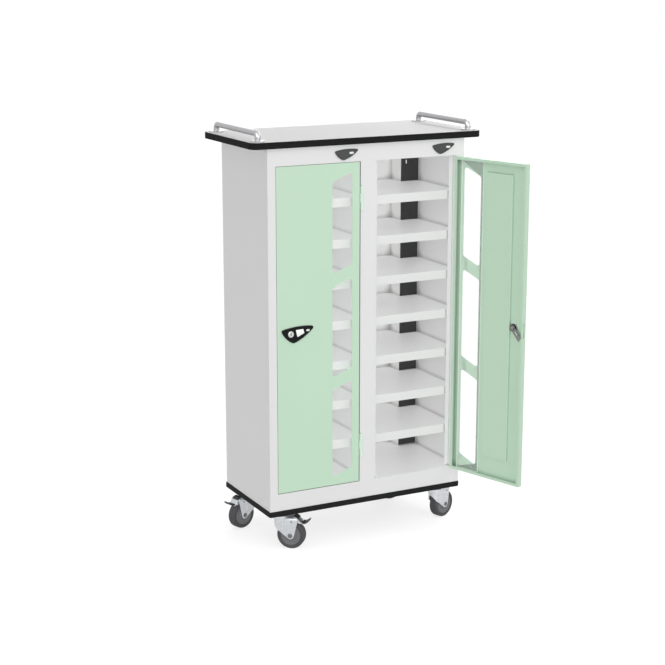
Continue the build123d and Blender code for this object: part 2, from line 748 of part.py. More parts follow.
def lock_cam():
    """The cam that swings behind the stile, and the nut that holds it."""
    hang = math.radians(CAM_REST)
    along_cam = (-math.cos(hang), 0, -math.sin(hang))
    seat = Plane(origin=(LOCK_X, CAM_Y, LOCK_Z), z_dir=(0, 1, 0), x_dir=along_cam)
    bore = STUD_R + STUD_CLEAR
    arm = CAM_REACH - CAM_W / 2
    with BuildPart() as cam:
        with BuildSketch(seat):
            with Locations((arm / 2, 0)):
                SlotCenterToCenter(arm, CAM_W)
            Circle(bore, mode=Mode.SUBTRACT)
        extrude(amount=CAM_T)
        with BuildSketch(seat.offset(CAM_T)):
            RegularPolygon(NUT_R, 6)
            Circle(bore, mode=Mode.SUBTRACT)
        extrude(amount=NUT_T)
    return cam.part


def fascia_badge():
    """A dark shield on the header with a shallow seat for a status light."""
    with BuildPart() as badge:
        with BuildSketch(Plane.XZ):
            with Locations((STILE_RIGHT - BADGE_FROM_STILE - BADGE_W, BODY_TOP_Z - BADGE_DOWN - BADGE_H)):
                add(shield_outline(BADGE_W, BADGE_H))
        extrude(amount=SHIELD_T)
        chamfer(badge.faces().sort_by(Axis.Y)[0].edges(), SHIELD_EDGE)
        lens_x = STILE_RIGHT - BADGE_FROM_STILE - BADGE_W + BADGE_LENS_OFF[0]
        lens_z = BODY_TOP_Z - BADGE_DOWN - BADGE_H + BADGE_LENS_OFF[1]
        with BuildSketch(Plane.XZ.offset(SHIELD_T)):
            with Locations((lens_x, lens_z)):
                SlotOverall(BADGE_LENS_L, BADGE_LENS_H)
        extrude(amount=-LABEL_D, mode=Mode.SUBTRACT)
    return badge.part


# Casters, each built in its own frame with the kingpin on Z

def caster_plate():
    """The mounting plate with its upper race and the kingpin riveted into it."""
    with BuildPart() as plate:
        with BuildSketch(Plane.XY.offset(PLATE_Z)):
            RectangleRounded(PLATE_S, PLATE_S, PLATE_CORNER_R)
            with GridLocations(BOLT_PITCH, BOLT_PITCH, 2, 2):
                Circle(BOLT_R + BOLT_CLEAR, mode=Mode.SUBTRACT)
        extrude(amount=PLATE_T)
        with BuildSketch(Plane.XY.offset(RACE_Z)):
            Circle(RACE_R)
        extrude(amount=RACE_H)
        with BuildSketch(Plane.XY.offset(HEAD_Z - RACE_GAP)):
            Circle(KINGPIN_R)
        extrude(amount=HEAD_T + 2 * RACE_GAP)
        with BuildSketch(Plane.XY.offset(HEAD_Z - RACE_GAP - KINGPIN_HEAD_T)):
            Circle(KINGPIN_HEAD_R)
        extrude(amount=KINGPIN_HEAD_T)
    return plate.part


def caster_bolts():
    """The four hex bolts of one caster, through its plate into the base board."""
    with BuildPart() as bolts:
        with BuildSketch(Plane.XY.offset(PLATE_Z - BOLT_HEAD_H)):
            with GridLocations(BOLT_PITCH, BOLT_PITCH, 2, 2):
                RegularPolygon(BOLT_HEAD_R, 6)
        extrude(amount=BOLT_HEAD_H)
        with BuildSketch(Plane.XY.offset(PLATE_Z)):
            with GridLocations(BOLT_PITCH, BOLT_PITCH, 2, 2):
                Circle(BOLT_R)
        extrude(amount=PLATE_T + BOLT_IN_BOARD)
    return bolts.part


def fork(braked):
    """A pressed fork with its riveted axle, and ears for a pedal when braked."""
    axle_half = LEG_OUTER + AXLE_HEAD_T
    neck = HEAD_Z + HEAD_T / 2
    with BuildPart() as body:
        with BuildSketch(Plane.XY.offset(HEAD_Z)):
            Circle(HEAD_R)
        extrude(amount=HEAD_T)
        fillet(body.faces().sort_by(Axis.Z)[-1].edges(), HEAD_EDGE_R)
        for leg_y in (LEG_OUTER, -LEG_GAP):
            with BuildSketch(Plane.XZ.offset(-leg_y)):
                with BuildLine():
                    Polyline(
                        (-LEG_TOP_HALF, neck),
                        (-LEG_TOP_HALF, HEAD_Z),
                        (TRAIL - LEG_BOSS_R, WHEEL_R),
                        (TRAIL + LEG_BOSS_R, WHEEL_R),
                        (LEG_TOP_HALF, HEAD_Z),
                        (LEG_TOP_HALF, neck),
                        close=True,
                    )
                make_face()
                with Locations((TRAIL, WHEEL_R)):
                    Circle(LEG_BOSS_R)
                if braked:
                    with BuildLine():
                        Polyline(
                            (0, neck),
                            (TRAIL - LEG_BOSS_R, WHEEL_R + LEG_BOSS_R),
                            (PEDAL_PIVOT[0], PEDAL_PIVOT[1] - EAR_R),
                            (PEDAL_PIVOT[0], PEDAL_PIVOT[1] + EAR_R),
                            close=True,
                        )
                    make_face()
                    with Locations(PEDAL_PIVOT):
                        Circle(EAR_R)
            extrude(amount=LEG_T)
        with BuildSketch(Plane.XZ.offset(-axle_half)):
            with Locations((TRAIL, WHEEL_R)):
                Circle(AXLE_R)
        extrude(amount=2 * axle_half)
        for head_y in (axle_half, -LEG_OUTER):
            with BuildSketch(Plane.XZ.offset(-head_y)):
                with Locations((TRAIL, WHEEL_R)):
                    RegularPolygon(AXLE_HEAD_R, 6)
            extrude(amount=AXLE_HEAD_T)
        with BuildSketch(Plane.XY.offset(HEAD_Z)):
            Circle(KINGPIN_R + KINGPIN_CLEAR)
        extrude(amount=HEAD_T, mode=Mode.SUBTRACT)
        if braked:
            with BuildSketch(Plane.XZ.offset(-LEG_OUTER)):
                with Locations(PEDAL_PIVOT):
                    Circle(PEDAL_PIN_R)
            extrude(amount=2 * LEG_OUTER)
    return body.part


def wheel():
    """A soft-tread wheel on a bored hub, dished between rim and hub."""
    half = WHEEL_W / 2
    hub_half = LEG_GAP - HUB_GAP
    dish = half - DISH_D
    bore_z = WHEEL_R + AXLE_R + AXLE_CLEAR
    with BuildPart() as body:
        with BuildSketch(Plane.YZ.offset(TRAIL)) as section:
            with BuildLine():
                Polyline(
                    (-hub_half, bore_z),
                    (-hub_half, WHEEL_R + HUB_R),
                    (-dish, WHEEL_R + HUB_R + DISH_D),
                    (-dish, WHEEL_R + RIM_R - DISH_D),
                    (-half, WHEEL_R + RIM_R),
                    (-half, 2 * WHEEL_R),
                    (half, 2 * WHEEL_R),
                    (half, WHEEL_R + RIM_R),
                    (dish, WHEEL_R + RIM_R - DISH_D),
                    (dish, WHEEL_R + HUB_R + DISH_D),
                    (hub_half, WHEEL_R + HUB_R),
                    (hub_half, bore_z),
                    close=True,
                )
            make_face()
            fillet(section.vertices().group_by(Axis.Y)[-1], WHEEL_SHOULDER_R)
        revolve(axis=Axis((TRAIL, 0, WHEEL_R), (0, 1, 0)))
    return body.part


def brake_pedal():
    """A rocking pedal: a short release arm and a longer foot arm."""
    arms = ((PEDAL_TOP, PEDAL_BEND), (PEDAL_BEND, PEDAL_TIP))
    with BuildPart() as pedal:
        with BuildSketch(Plane.XZ.offset(-PEDAL_W / 2)):
            for start, end in arms:
                rise = math.degrees(math.atan2(end[1] - start[1], end[0] - start[0]))
                middle = ((start[0] + end[0]) / 2, (start[1] + end[1]) / 2)
                with Locations(middle):
                    SlotCenterToCenter(math.dist(start, end), PEDAL_T, rotation=rise)
            with Locations(PEDAL_PIVOT):
                Circle(PEDAL_BOSS_R)
                Circle(PEDAL_PIN_R + PEDAL_PIN_CLEAR, mode=Mode.SUBTRACT)
        extrude(amount=PEDAL_W)
    return pedal.part


def casters():
    """Four swivel casters, with brake pedals on the two at the left."""
    places = [Location((*centre, 0)) for centre in KINGPINS.values()]
    save_at(caster_plate(), places, "caster_plates")
    save_at(caster_bolts(), places, "caster_bolts")
    plain_fork = fork(False)
    braked_fork = fork(True)
    rolling_wheel = wheel()
    pedal = brake_pedal()
    for corner in KINGPINS:
        place = [caster_place(corner)]
        save_at(rolling_wheel, place, f"{corner}_wheel")
        if corner in BRAKED_CORNERS:
            save_at(braked_fork, place, f"{corner}_fork")
            save_at(pedal, place, f"{corner}_brake_pedal")
        else:
            save_at(plain_fork, place, f"{corner}_fork")


def lockers():
    """Every piece of both lockers and their doors."""
    both = [locker_place(side) for side in LOCKERS]
    save_at(end_panel(BODY_TOP_Z - SHEET), both, "roof_panels")
    save_at(end_panel(FLOOR_Z - SHEET), both, "floor_panels")
    save_at(fascia_badge(), both, "fascia_badges")
    fixed_pieces = {
        "front_frame": front_frame(),
        "charge_column": charge_column(),
        "charge_strip": charge_strip(),
    }
    for number in range(1, SHELF_COUNT + 1):
        fixed_pieces[f"shelf_{number}"] = shelf(number)
    door_pieces = {
        "door": door(),
        "window_pane": window_pane(),
        "door_stiffener": door_stiffener(),
        "lock_housing": lock_housing(),
        "lock_barrel": lock_barrel(),
        "lock_cam": lock_cam(),
    }
    for side in LOCKERS:
        cabinet_shell(side)
        for name, piece in fixed_pieces.items():
            save_at(piece, [locker_place(side)], f"{side}_{name}")
        for name, piece in door_pieces.items():
            save_at(piece, [door_place(side)], f"{side}_{name}")
    save_at(mains_inlet(), [locker_place("right")], "mains_inlet")


def main():
    """Build every piece and write one STEP file for each."""
    os.makedirs(PARTS_DIR, exist_ok=True)
    worktop()
    handrail("left", -1)
    handrail("right", 1)
    base()
    lockers()
    hinges()
    casters()


main()
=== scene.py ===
"""The looks of a tablet charging trolley: two steel lockers under one worktop, on four casters.

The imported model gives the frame. Each class below dresses one sub-assembly of it and builds the
pieces that the frame leaves plain. Sizes are in millimetres, and a piece's mesh is written in
metres in the row frame, with the floor at Z = 0 and the fronts of the lockers facing -Y.
"""

from __future__ import annotations

import logging
import math
from dataclasses import dataclass, field
from enum import Enum
from typing import Any, Iterable, Sequence

import bmesh
import bpy
from mathutils import Matrix, Vector

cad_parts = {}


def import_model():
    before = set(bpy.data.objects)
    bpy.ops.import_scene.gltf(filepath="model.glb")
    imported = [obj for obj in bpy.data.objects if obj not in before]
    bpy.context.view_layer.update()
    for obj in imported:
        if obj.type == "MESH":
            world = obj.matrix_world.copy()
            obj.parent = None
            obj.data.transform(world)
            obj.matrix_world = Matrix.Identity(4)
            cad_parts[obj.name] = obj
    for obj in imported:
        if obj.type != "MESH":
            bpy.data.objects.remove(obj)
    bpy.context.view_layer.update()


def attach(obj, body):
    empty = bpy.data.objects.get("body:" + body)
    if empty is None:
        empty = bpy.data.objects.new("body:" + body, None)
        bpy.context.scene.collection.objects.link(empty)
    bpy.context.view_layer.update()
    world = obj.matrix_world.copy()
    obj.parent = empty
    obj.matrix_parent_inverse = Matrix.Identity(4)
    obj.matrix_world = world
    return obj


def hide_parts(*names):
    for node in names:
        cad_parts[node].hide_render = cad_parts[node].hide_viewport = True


LOG = logging.getLogger("trolley")
MM = 0.001
CABINET = "cabinet"

Point = tuple[float, float]
Spot = tuple[float, float, float]
Circle = tuple[float, float, float]
Colour = tuple[float, float, float, float]
Mesh = bmesh.types.BMesh
Piece = bpy.types.Object
Material = bpy.types.Material
Tree = bpy.types.NodeTree
Node = bpy.types.Node
Socket = bpy.types.NodeSocket


class Side(Enum):
    """The two lockers, as someone facing the front sees them."""

    LEFT = "left"
    RIGHT = "right"


class Corner(Enum):
    """The four casters."""

    FRONT_LEFT = "front_left"
    BACK_LEFT = "back_left"
    FRONT_RIGHT = "front_right"
    BACK_RIGHT = "back_right"


class Slot(Enum):
    """Material slots of the record, one of which is named with each new piece."""

    PLASTIC = "black_plastic"
    METAL = "lock_metal"
    ZINC = "zinc"
    RAIL = "rail_steel"
    TYRE = "tyre"
    CLEAR = "clear_plastic"


# Node helpers


def linear(code: str) -> Colour:
    """Turns an sRGB hex colour to linear.

    Args:
        code: Six hex digits after a hash.

    Returns:
        Linear red, green and blue, and full opacity.
    """
    parts = [int(code[i : i + 2], 16) / 255 for i in (1, 3, 5)]
    red, green, blue = (p / 12.92 if p <= 0.04045 else ((p + 0.055) / 1.055) ** 2.4 for p in parts)
    return (red, green, blue, 1.0)


def add_node(
    tree: Tree,
    kind: str,
    inputs: dict[Any, Any] | None = None,
    links: dict[Any, Socket] | None = None,
    **settings: Any,
) -> Node:
    """Adds one node with its settings, input values and incoming links.

    Args:
        tree: Node tree that takes the node.
        kind: Type name of the node.
        inputs: Values by input name or number.
        links: Source sockets by input name or number.
        **settings: Properties of the node itself.

    Returns:
        The new node.
    """
    node = tree.nodes.new(kind)
    for name, value in settings.items():
        setattr(node, name, value)
    for key, value in (inputs or {}).items():
        node.inputs[key].default_value = value
    for key, source in (links or {}).items():
        tree.links.new(source, node.inputs[key])
    return node


def start_material(name: str, **values: Any) -> tuple[Material, Tree, Node, Socket]:
    """Starts a material from one Principled shader and the object's own coordinates.

    Args:
        name: Common name of the real material.
        **values: Shader inputs, with underscores for spaces.

    Returns:
        The material, its node tree, its shader node and the coordinates.
    """
    material = bpy.data.materials.new(name)
    material.use_nodes = True
    tree = material.node_tree
    shader = tree.nodes["Principled BSDF"]
    for key, value in values.items():
        shader.inputs[key.replace("_", " ")].default_value = value
    return material, tree, shader, add_node(tree, "ShaderNodeTexCoord").outputs["Object"]


def wire_surface(
    tree: Tree,
    shader: Node,
    tones: tuple[str, str],
    share: Socket,
    grain: Socket,
    gloss: Point,
    relief: Point,
) -> Socket:
    """Gives a shader two close tones, and a gloss and a relief that follow a grain.

    Args:
        tree: Node tree of the material.
        shader: Its shader.
        tones: Hex colours where the share is 0 and where it is 1.
        share: Pattern that mixes the tones.
        grain: Pattern that the gloss and the relief follow.
        gloss: Roughness where the grain is 0 and where it is 1.
        relief: Strength of the bump, and its height in millimetres.

    Returns:
        The mixed tone.
    """
    ends = {6: linear(tones[0]), 7: linear(tones[1])}
    tone = add_node(tree, "ShaderNodeMix", ends, {0: share}, data_type="RGBA")
    rough = add_node(tree, "ShaderNodeMapRange", {3: gloss[0], 4: gloss[1]}, {0: grain})
    depth = {"Strength": relief[0], "Distance": relief[1] * MM}
    bump = add_node(tree, "ShaderNodeBump", depth, {"Height": grain})
    tree.links.new(tone.outputs[2], shader.inputs["Base Color"])
    tree.links.new(rough.outputs[0], shader.inputs["Roughness"])
    tree.links.new(bump.outputs["Normal"], shader.inputs["Normal"])
    return tone.outputs[2]


def grained_material(
    name: str,
    tones: tuple[str, str],
    grain: Point,
    gloss: Point,
    relief: Point,
    **values: Any,
) -> Material:
    """Makes a material whose tone, gloss and relief all follow one cloudy grain.

    Args:
        name: Common name of the real material.
        tones: Hex colours at the grain's two ends.
        grain: Its size in millimetres, and how many finer layers it has.
        gloss: Roughness at the grain's two ends.
        relief: Strength of the bump, and its height in millimetres.
        **values: Shader inputs, with underscores for spaces.

    Returns:
        The material.
    """
    material, tree, shader, spot = start_material(name, **values)
    layers = {"Scale": 1 / (grain[0] * MM), "Detail": grain[1]}
    cloud = add_node(tree, "ShaderNodeTexNoise", layers, {"Vector": spot}).outputs["Fac"]
    wire_surface(tree, shader, tones, cloud, cloud, gloss, relief)
    return material


# Mesh helpers


def polar(radius: float, angle: float, centre: Point = (0.0, 0.0)) -> Point:
    """Point at an angle in radians and a distance from a centre."""
    return (centre[0] + radius * math.cos(angle), centre[1] + radius * math.sin(angle))


def offsets(origin: Point, steps: Iterable[Point]) -> list[Point]:
    """Points that are given as steps from one origin."""
    return [(origin[0] + x, origin[1] + z) for x, z in steps]


def mirror(side: Sequence[Point]) -> list[Point]:
    """A profile followed by its own mirror image, which goes back along the axle."""
    return [*side, *((radius, -y) for radius, y in reversed(side))]


def arc(centre: Point, radius: float, start: float, end: float, steps: int) -> list[Point]:
    """Points on an arc between two angles in degrees, one more than its steps."""
    angles = [math.radians(start + (end - start) * i / steps) for i in range(steps + 1)]
    return [polar(radius, angle, centre) for angle in angles]


def belt(circles: Sequence[Circle], inset: float = 0.0, count: int = 96) -> list[Point]:
    """Outline of a belt drawn tight round some circles.

    Args:
        circles: Centre and radius of each circle.
        inset: How far inside that outline to go.
        count: How many points to give.

    Returns:
        Points of the outline, anticlockwise.
    """
    points = []
    for step in range(count):
        angle = math.tau * (step + 0.5) / count
        across, up = polar(1.0, angle)
        x, z, radius = max(circles, key=lambda c: c[0] * across + c[1] * up + c[2])
        points.append(polar(radius - inset, angle, (x, z)))
    return points


def rounded_box(size: Point, radius: float, centre: Point, steps: int = 6) -> list[Point]:
    """Outline of a rectangle with round corners.

    Args:
        size: Overall width and height.
        radius: Corner radius.
        centre: Middle of the rectangle.
        steps: Facets in each corner.

    Returns:
        Points of the outline, anticlockwise.
    """
    x, z = size[0] / 2 - radius, size[1] / 2 - radius
    points = []
    for dx, dz, start in ((x, z, 0), (-x, z, 90), (-x, -z, 180), (x, -z, 270)):
        points += arc((centre[0] + dx, centre[1] + dz), radius, start, start + 90, steps)
    # Where the ends are full half circles, neighbouring corners meet in one point.
    return list(dict.fromkeys(points))


def ribbon(path: Sequence[Point], halves: Sequence[float]) -> list[Point]:
    """Outline of a strip of changing thickness along a path.

    Args:
        path: Middle line of the strip.
        halves: Half its thickness at each point.

    Returns:
        Points of the closed outline.
    """
    upper, lower = [], []
    for i, (x, z) in enumerate(path):
        before = Vector(path[max(i - 1, 0)])
        after = Vector(path[min(i + 1, len(path) - 1)])
        along = (after - before).normalized()
        upper.append((x - along.y * halves[i], z + along.x * halves[i]))
        lower.append((x + along.y * halves[i], z - along.x * halves[i]))
    return upper + lower[::-1]


def smooth_path(points: Sequence[Point], steps: int = 6) -> list[Point]:
    """Passes a smooth line through some points.

    Args:
        points: Points that the line goes through.
        steps: Steps between neighbours.

    Returns:
        Points of the line.
    """
    spots = [Vector(p) for p in points]
    ends = [2 * spots[0] - spots[1], *spots, 2 * spots[-1] - spots[-2]]
    line = []
    for i in range(1, len(ends) - 2):
        a, b, c, d = ends[i - 1 : i + 3]
        for step in range(steps):
            t = step / steps
            bend = (2 * a - 5 * b + 4 * c - d) * t**2 + (3 * b - a - 3 * c + d) * t**3
            line.append(tuple(0.5 * (2 * b + (c - a) * t + bend)))
    return [*line, tuple(points[-1])]


def skin(rings: Iterable[Sequence[Spot]], closed: bool = False, ends: bool = False) -> Mesh:
    """Skins a row of rings that have equally many points.

    Args:
        rings: Points of each ring; one that is all one point becomes a tip.
        closed: Whether the last ring joins the first.
        ends: Whether the first and the last ring are filled.

    Returns:
        The mesh.
    """
    mesh = bmesh.new()
    loops = []
    for ring in rings:
        tip = len(set(ring)) == 1
        verts = [mesh.verts.new(spot) for spot in (ring[:1] if tip else ring)]
        loops.append(verts * len(ring) if tip else verts)
    for low, high in zip(loops, loops[1:] + (loops[:1] if closed else [])):
        for i in range(len(low)):
            j = (i + 1) % len(low)
            corners = dict.fromkeys((low[i], low[j], high[j], high[i]))
            if len(corners) > 2:
                mesh.faces.new(tuple(corners))
    if ends:
        mesh.faces.new(loops[0])
        mesh.faces.new(loops[-1])
    bmesh.ops.recalc_face_normals(mesh, faces=mesh.faces)
    return mesh


def lathe(profile: Sequence[Point], turns: int = 72, closed: bool = False) -> Mesh:
    """Turns a profile round Z.

    Args:
        profile: Radius and height of each point.
        turns: Number of facets round the axis.
        closed: Whether the last point joins the first.

    Returns:
        The turned mesh.
    """
    angles = [math.tau * i / turns for i in range(turns)]
    rings = [[(*polar(radius, angle), height) for angle in angles] for radius, height in profile]
    return skin(rings, closed)


def stack(loops: Sequence[tuple[Sequence[Point], float]]) -> Mesh:
    """Skins outlines in X and Z, each with its place along Y, and closes both ends."""
    return skin([[(x, depth, z) for x, z in outline] for outline, depth in loops], ends=True)


def bar(outline: Sequence[Point], ends: Point, edge: float = 0.0, rounds: int = 2) -> Mesh:
    """A bar of one outline, with softened ends where it has an edge width.

    Args:
        outline: Section in X and Z.
        ends: Near and far end along Y.
        edge: Width of the softened edge at both ends.
        rounds: Facets across that edge.

    Returns:
        The closed mesh.
    """
    mesh = stack([(outline, end) for end in ends])
    rims = [e for e in mesh.edges if abs(e.verts[0].co.y - e.verts[1].co.y) < 1e-6]
    if edge > 0:
        bmesh.ops.bevel(mesh, geom=rims, offset=edge, segments=rounds, profile=0.5, affect="EDGES")
    return mesh


def frame_ring(rim: Sequence[Point], mouth: Sequence[Point], ends: Point) -> Mesh:
    """Builds a flat tube between two outlines.

    Args:
        rim: Outer outline.
        mouth: Inner outline, with as many points.
        ends: Near and far end along Y.

    Returns:
        The closed ring.
    """
    near, far = ends
    loops = ((rim, near), (rim, far), (mouth, far), (mouth, near))
    return skin([[(x, y, z) for x, z in outline] for outline, y in loops], closed=True)


def join(meshes: Iterable[Mesh]) -> Mesh:
    """Puts several meshes into one.

    Args:
        meshes: Meshes to join; they are freed.

    Returns:
        The joined mesh.
    """
    whole = bmesh.new()
    for mesh in meshes:
        data = bpy.data.meshes.new("part")
        mesh.to_mesh(data)
        mesh.free()
        whole.from_mesh(data)
        bpy.data.meshes.remove(data)
    return whole


def moved(mesh: Mesh, place: Matrix) -> Mesh:
    """The same mesh after a move."""
    mesh.transform(place)
    return mesh


def facing(degrees: float, spot: Spot = (0.0, 0.0, 0.0)) -> Matrix:
    """Tips Z over about X and then moves to a spot: 90 degrees faces -Y, and -90 faces +Y."""
    return Matrix.Translation(spot) @ Matrix.Rotation(math.radians(degrees), 4, "X")


# Finishes


@dataclass(frozen=True)
class PowderCoat:
    """Polyester powder, sprayed and stoved on sheet steel.

    It gives an even satin colour with a faint orange peel, which breaks up highlights a little. The
    colour is darkened in inside corners, gaps and seams by ambient occlusion, as painted shade.
    """

    name: str
    colour: str
    thin: str
    shade_reach: float = 26.0
    depth: float = 0.1
    knee: float = 0.75
    peel: float = 5.0
    cloud: float = 260.0

    def make(self) -> Material:
        """Builds the node material.

        Returns:
            The material.
        """
        material, tree, shader, spot = start_material(self.name, IOR=1.5, Specular_IOR_Level=0.42)
        # The film is a little thicker in places, which shades the colour over some hand-widths.
        film = {"Scale": 1 / (self.cloud * MM), "Detail": 2.0}
        cloud = add_node(tree, "ShaderNodeTexNoise", film, {"Vector": spot}).outputs["Fac"]
        # Real orange peel is 1 to 2 mm across; it is drawn at 5 mm so that it shows.
        dimples = {"Scale": 1 / (self.peel * MM), "Detail": 3.0}
        peel = add_node(tree, "ShaderNodeTexNoise", dimples, {"Vector": spot}).outputs["Fac"]
        tones = (self.thin, self.colour)
        gloss, relief = (0.36, 0.5), (0.12, 0.1)
        tone = wire_surface(tree, shader, tones, cloud, peel, gloss, relief)
        # Painted shade: ambient occlusion darkens the colour in inside corners, gaps and seams,
        # within a set distance.
        shade_reach = {"Distance": self.shade_reach * MM}
        corner_openness = add_node(tree, "ShaderNodeAmbientOcclusion", shade_reach, samples=12).outputs["AO"]
        painted_shade_range = {1: 0.0, 2: self.knee, 3: self.depth, 4: 1.0}
        shade = add_node(tree, "ShaderNodeMapRange", painted_shade_range, {0: corner_openness}).outputs[0]
        pair = {6: tone, 7: shade}
        mode = {"data_type": "RGBA", "blend_type": "MULTIPLY"}
        coat = add_node(tree, "ShaderNodeMix", {0: 1.0}, pair, **mode)
        tree.links.new(coat.outputs[2], shader.inputs["Base Color"])
        return material


@dataclass(frozen=True)
class Laminate:
    """High-pressure laminate on the worktop board, pressed against a fine pearl plate.

    Its print has a very small fleck, and the pearl texture keeps its shine soft.
    """

    name: str
    colour: str
    fleck: str
    grain: float = 2.4
    pearl: float = 3.2

    def make(self) -> Material:
        """Builds the node material.

        Returns:
            The material.
        """
        material, tree, shader, spot = start_material(self.name, IOR=1.5, Specular_IOR_Level=0.12)
        # The printed fleck is under 1 mm in life and drawn at 2.4 mm so that it shows.
        print_size = {"Scale": 1 / (self.grain * MM), "Detail": 4.0}
        fleck = add_node(tree, "ShaderNodeTexNoise", print_size, {"Vector": spot}).outputs["Fac"]
        sparse = {1: 0.52, 2: 0.68, 4: 0.55}
        share = add_node(tree, "ShaderNodeMapRange", sparse, {0: fleck}).outputs[0]
        # The plate's pearls are about 1 mm across, and are drawn at 3.2 mm for the same reason.
        plate = {"Scale": 1 / (self.pearl * MM)}
        pearl = add_node(tree, "ShaderNodeTexVoronoi", plate, {"Vector": spot}).outputs["Distance"]
        tones = (self.colour, self.fleck)
        gloss, relief = (0.5, 0.66), (0.15, 0.08)
        wire_surface(tree, shader, tones, share, pearl, gloss, relief)
        return material


@dataclass(frozen=True)
class MouldedPlastic:
    """Injection-moulded or extruded ABS, polypropylene or nylon.

    A spark-eroded tool leaves a fine matt grain, and a polished one leaves almost none. The grain
    is a few tenths of a millimetre across, and is drawn at 1.6 mm so that it shows.
    """

    name: str
    colour: str
    worn: str
    rough: float = 0.45
    grain: float = 1.6
    relief: float = 0.1
    specular: float = 0.5

    def make(self) -> Material:
        """Builds the node material.

        Returns:
            The material.
        """
        return grained_material(
            self.name,
            tones=(self.colour, self.worn),
            grain=(self.grain, 3.0),
            gloss=(self.rough - 0.05, self.rough + 0.08),
            relief=(self.relief, 0.08),
            IOR=1.5,
            Specular_IOR_Level=self.specular,
        )


@dataclass(frozen=True)
class PlatedSteel:
    """Steel under zinc, nickel or chrome.

    Bright zinc is slightly cloudy, with soft patches where the bath took differently.
    """

    name: str
    colour: str
    dull: str
    rough: float = 0.3
    patch: float = 9.0

    def make(self) -> Material:
        """Builds the node material.

        Returns:
            The material.
        """
        return grained_material(
            self.name,
            tones=(self.dull, self.colour),
            grain=(self.patch, 4.0),
            gloss=(self.rough + 0.1, self.rough - 0.06),
            relief=(0.06, 0.05),
            Metallic=1.0,
        )


@dataclass(frozen=True)
class BrushedTube:
    """Satin stainless tube, linished round its girth with a belt.

    The belt leaves fine lines across the tube, which stretch highlights along it.
    """

    name: str
    colour: str
    line: str
    pitch: float = 1.2

    def make(self) -> Material:
        """Builds the node material.

        Returns:
            The material.
        """
        material, tree, shader, spot = start_material(self.name, Metallic=1.0)
        # Belt lines are a tenth of a millimetre apart; they are drawn at 1.2 mm so that they show.
        stretch = {"Scale": (0.08, 1.0, 1.0)}
        across = add_node(tree, "ShaderNodeMapping", stretch, {"Vector": spot}).outputs[0]
        fine = {"Scale": 1 / (self.pitch * MM), "Detail": 3.0, "Roughness": 0.6}
        lines = add_node(tree, "ShaderNodeTexNoise", fine, {"Vector": across}).outputs["Fac"]
        tones = (self.line, self.colour)
        gloss, relief = (0.42, 0.3), (0.08, 0.05)
        wire_surface(tree, shader, tones, lines, lines, gloss, relief)
        return material


@dataclass(frozen=True)
class ClearSheet:
    """Polycarbonate sheet behind the door windows.

    It is clear, with a gloss that shows only as a faint veil, and hairline rub marks.
    """

    name: str
    colour: str
    alpha: float = 0.1
    rub: float = 30.0

    def make(self) -> Material:
        """Builds the node material.

        Returns:
            The material.
        """
        material, tree, shader, spot = start_material(self.name, IOR=1.58, Alpha=self.alpha)
        shader.inputs["Base Color"].default_value = linear(self.colour)
        material.surface_render_method = "BLENDED"
        marks = {"Scale": 1 / (self.rub * MM), "Detail": 5.0}
        rub = add_node(tree, "ShaderNodeTexNoise", marks, {"Vector": spot}).outputs["Fac"]
        gloss = add_node(tree, "ShaderNodeMapRange", {3: 0.03, 4: 0.14}, {0: rub})
        tree.links.new(gloss.outputs[0], shader.inputs["Roughness"])
        return material


@dataclass(frozen=True)
class RubberTread:
    """Grey thermoplastic rubber on the wheels.

    It is matt, and floor dust and scuffs leave it cloudy, in a slightly paler grey.
    """

    name: str
    colour: str
    scuff: str
    grain: float = 2.0

    def make(self) -> Material:
        """Builds the node material.

        Returns:
            The material.
        """
        return grained_material(
            self.name,
            tones=(self.colour, self.scuff),
            grain=(self.grain, 5.0),
            gloss=(0.55, 0.75),
            relief=(0.2, 0.1),
            IOR=1.5,
            Specular_IOR_Level=0.3,
        )


Metal = PlatedSteel | BrushedTube
Finish = PowderCoat | Laminate | MouldedPlastic | Metal | ClearSheet | RubberTread


def made(finish: Finish) -> Any:
    """A field that holds the material of a finish, which is made with the set."""
    return field(default_factory=finish.make)


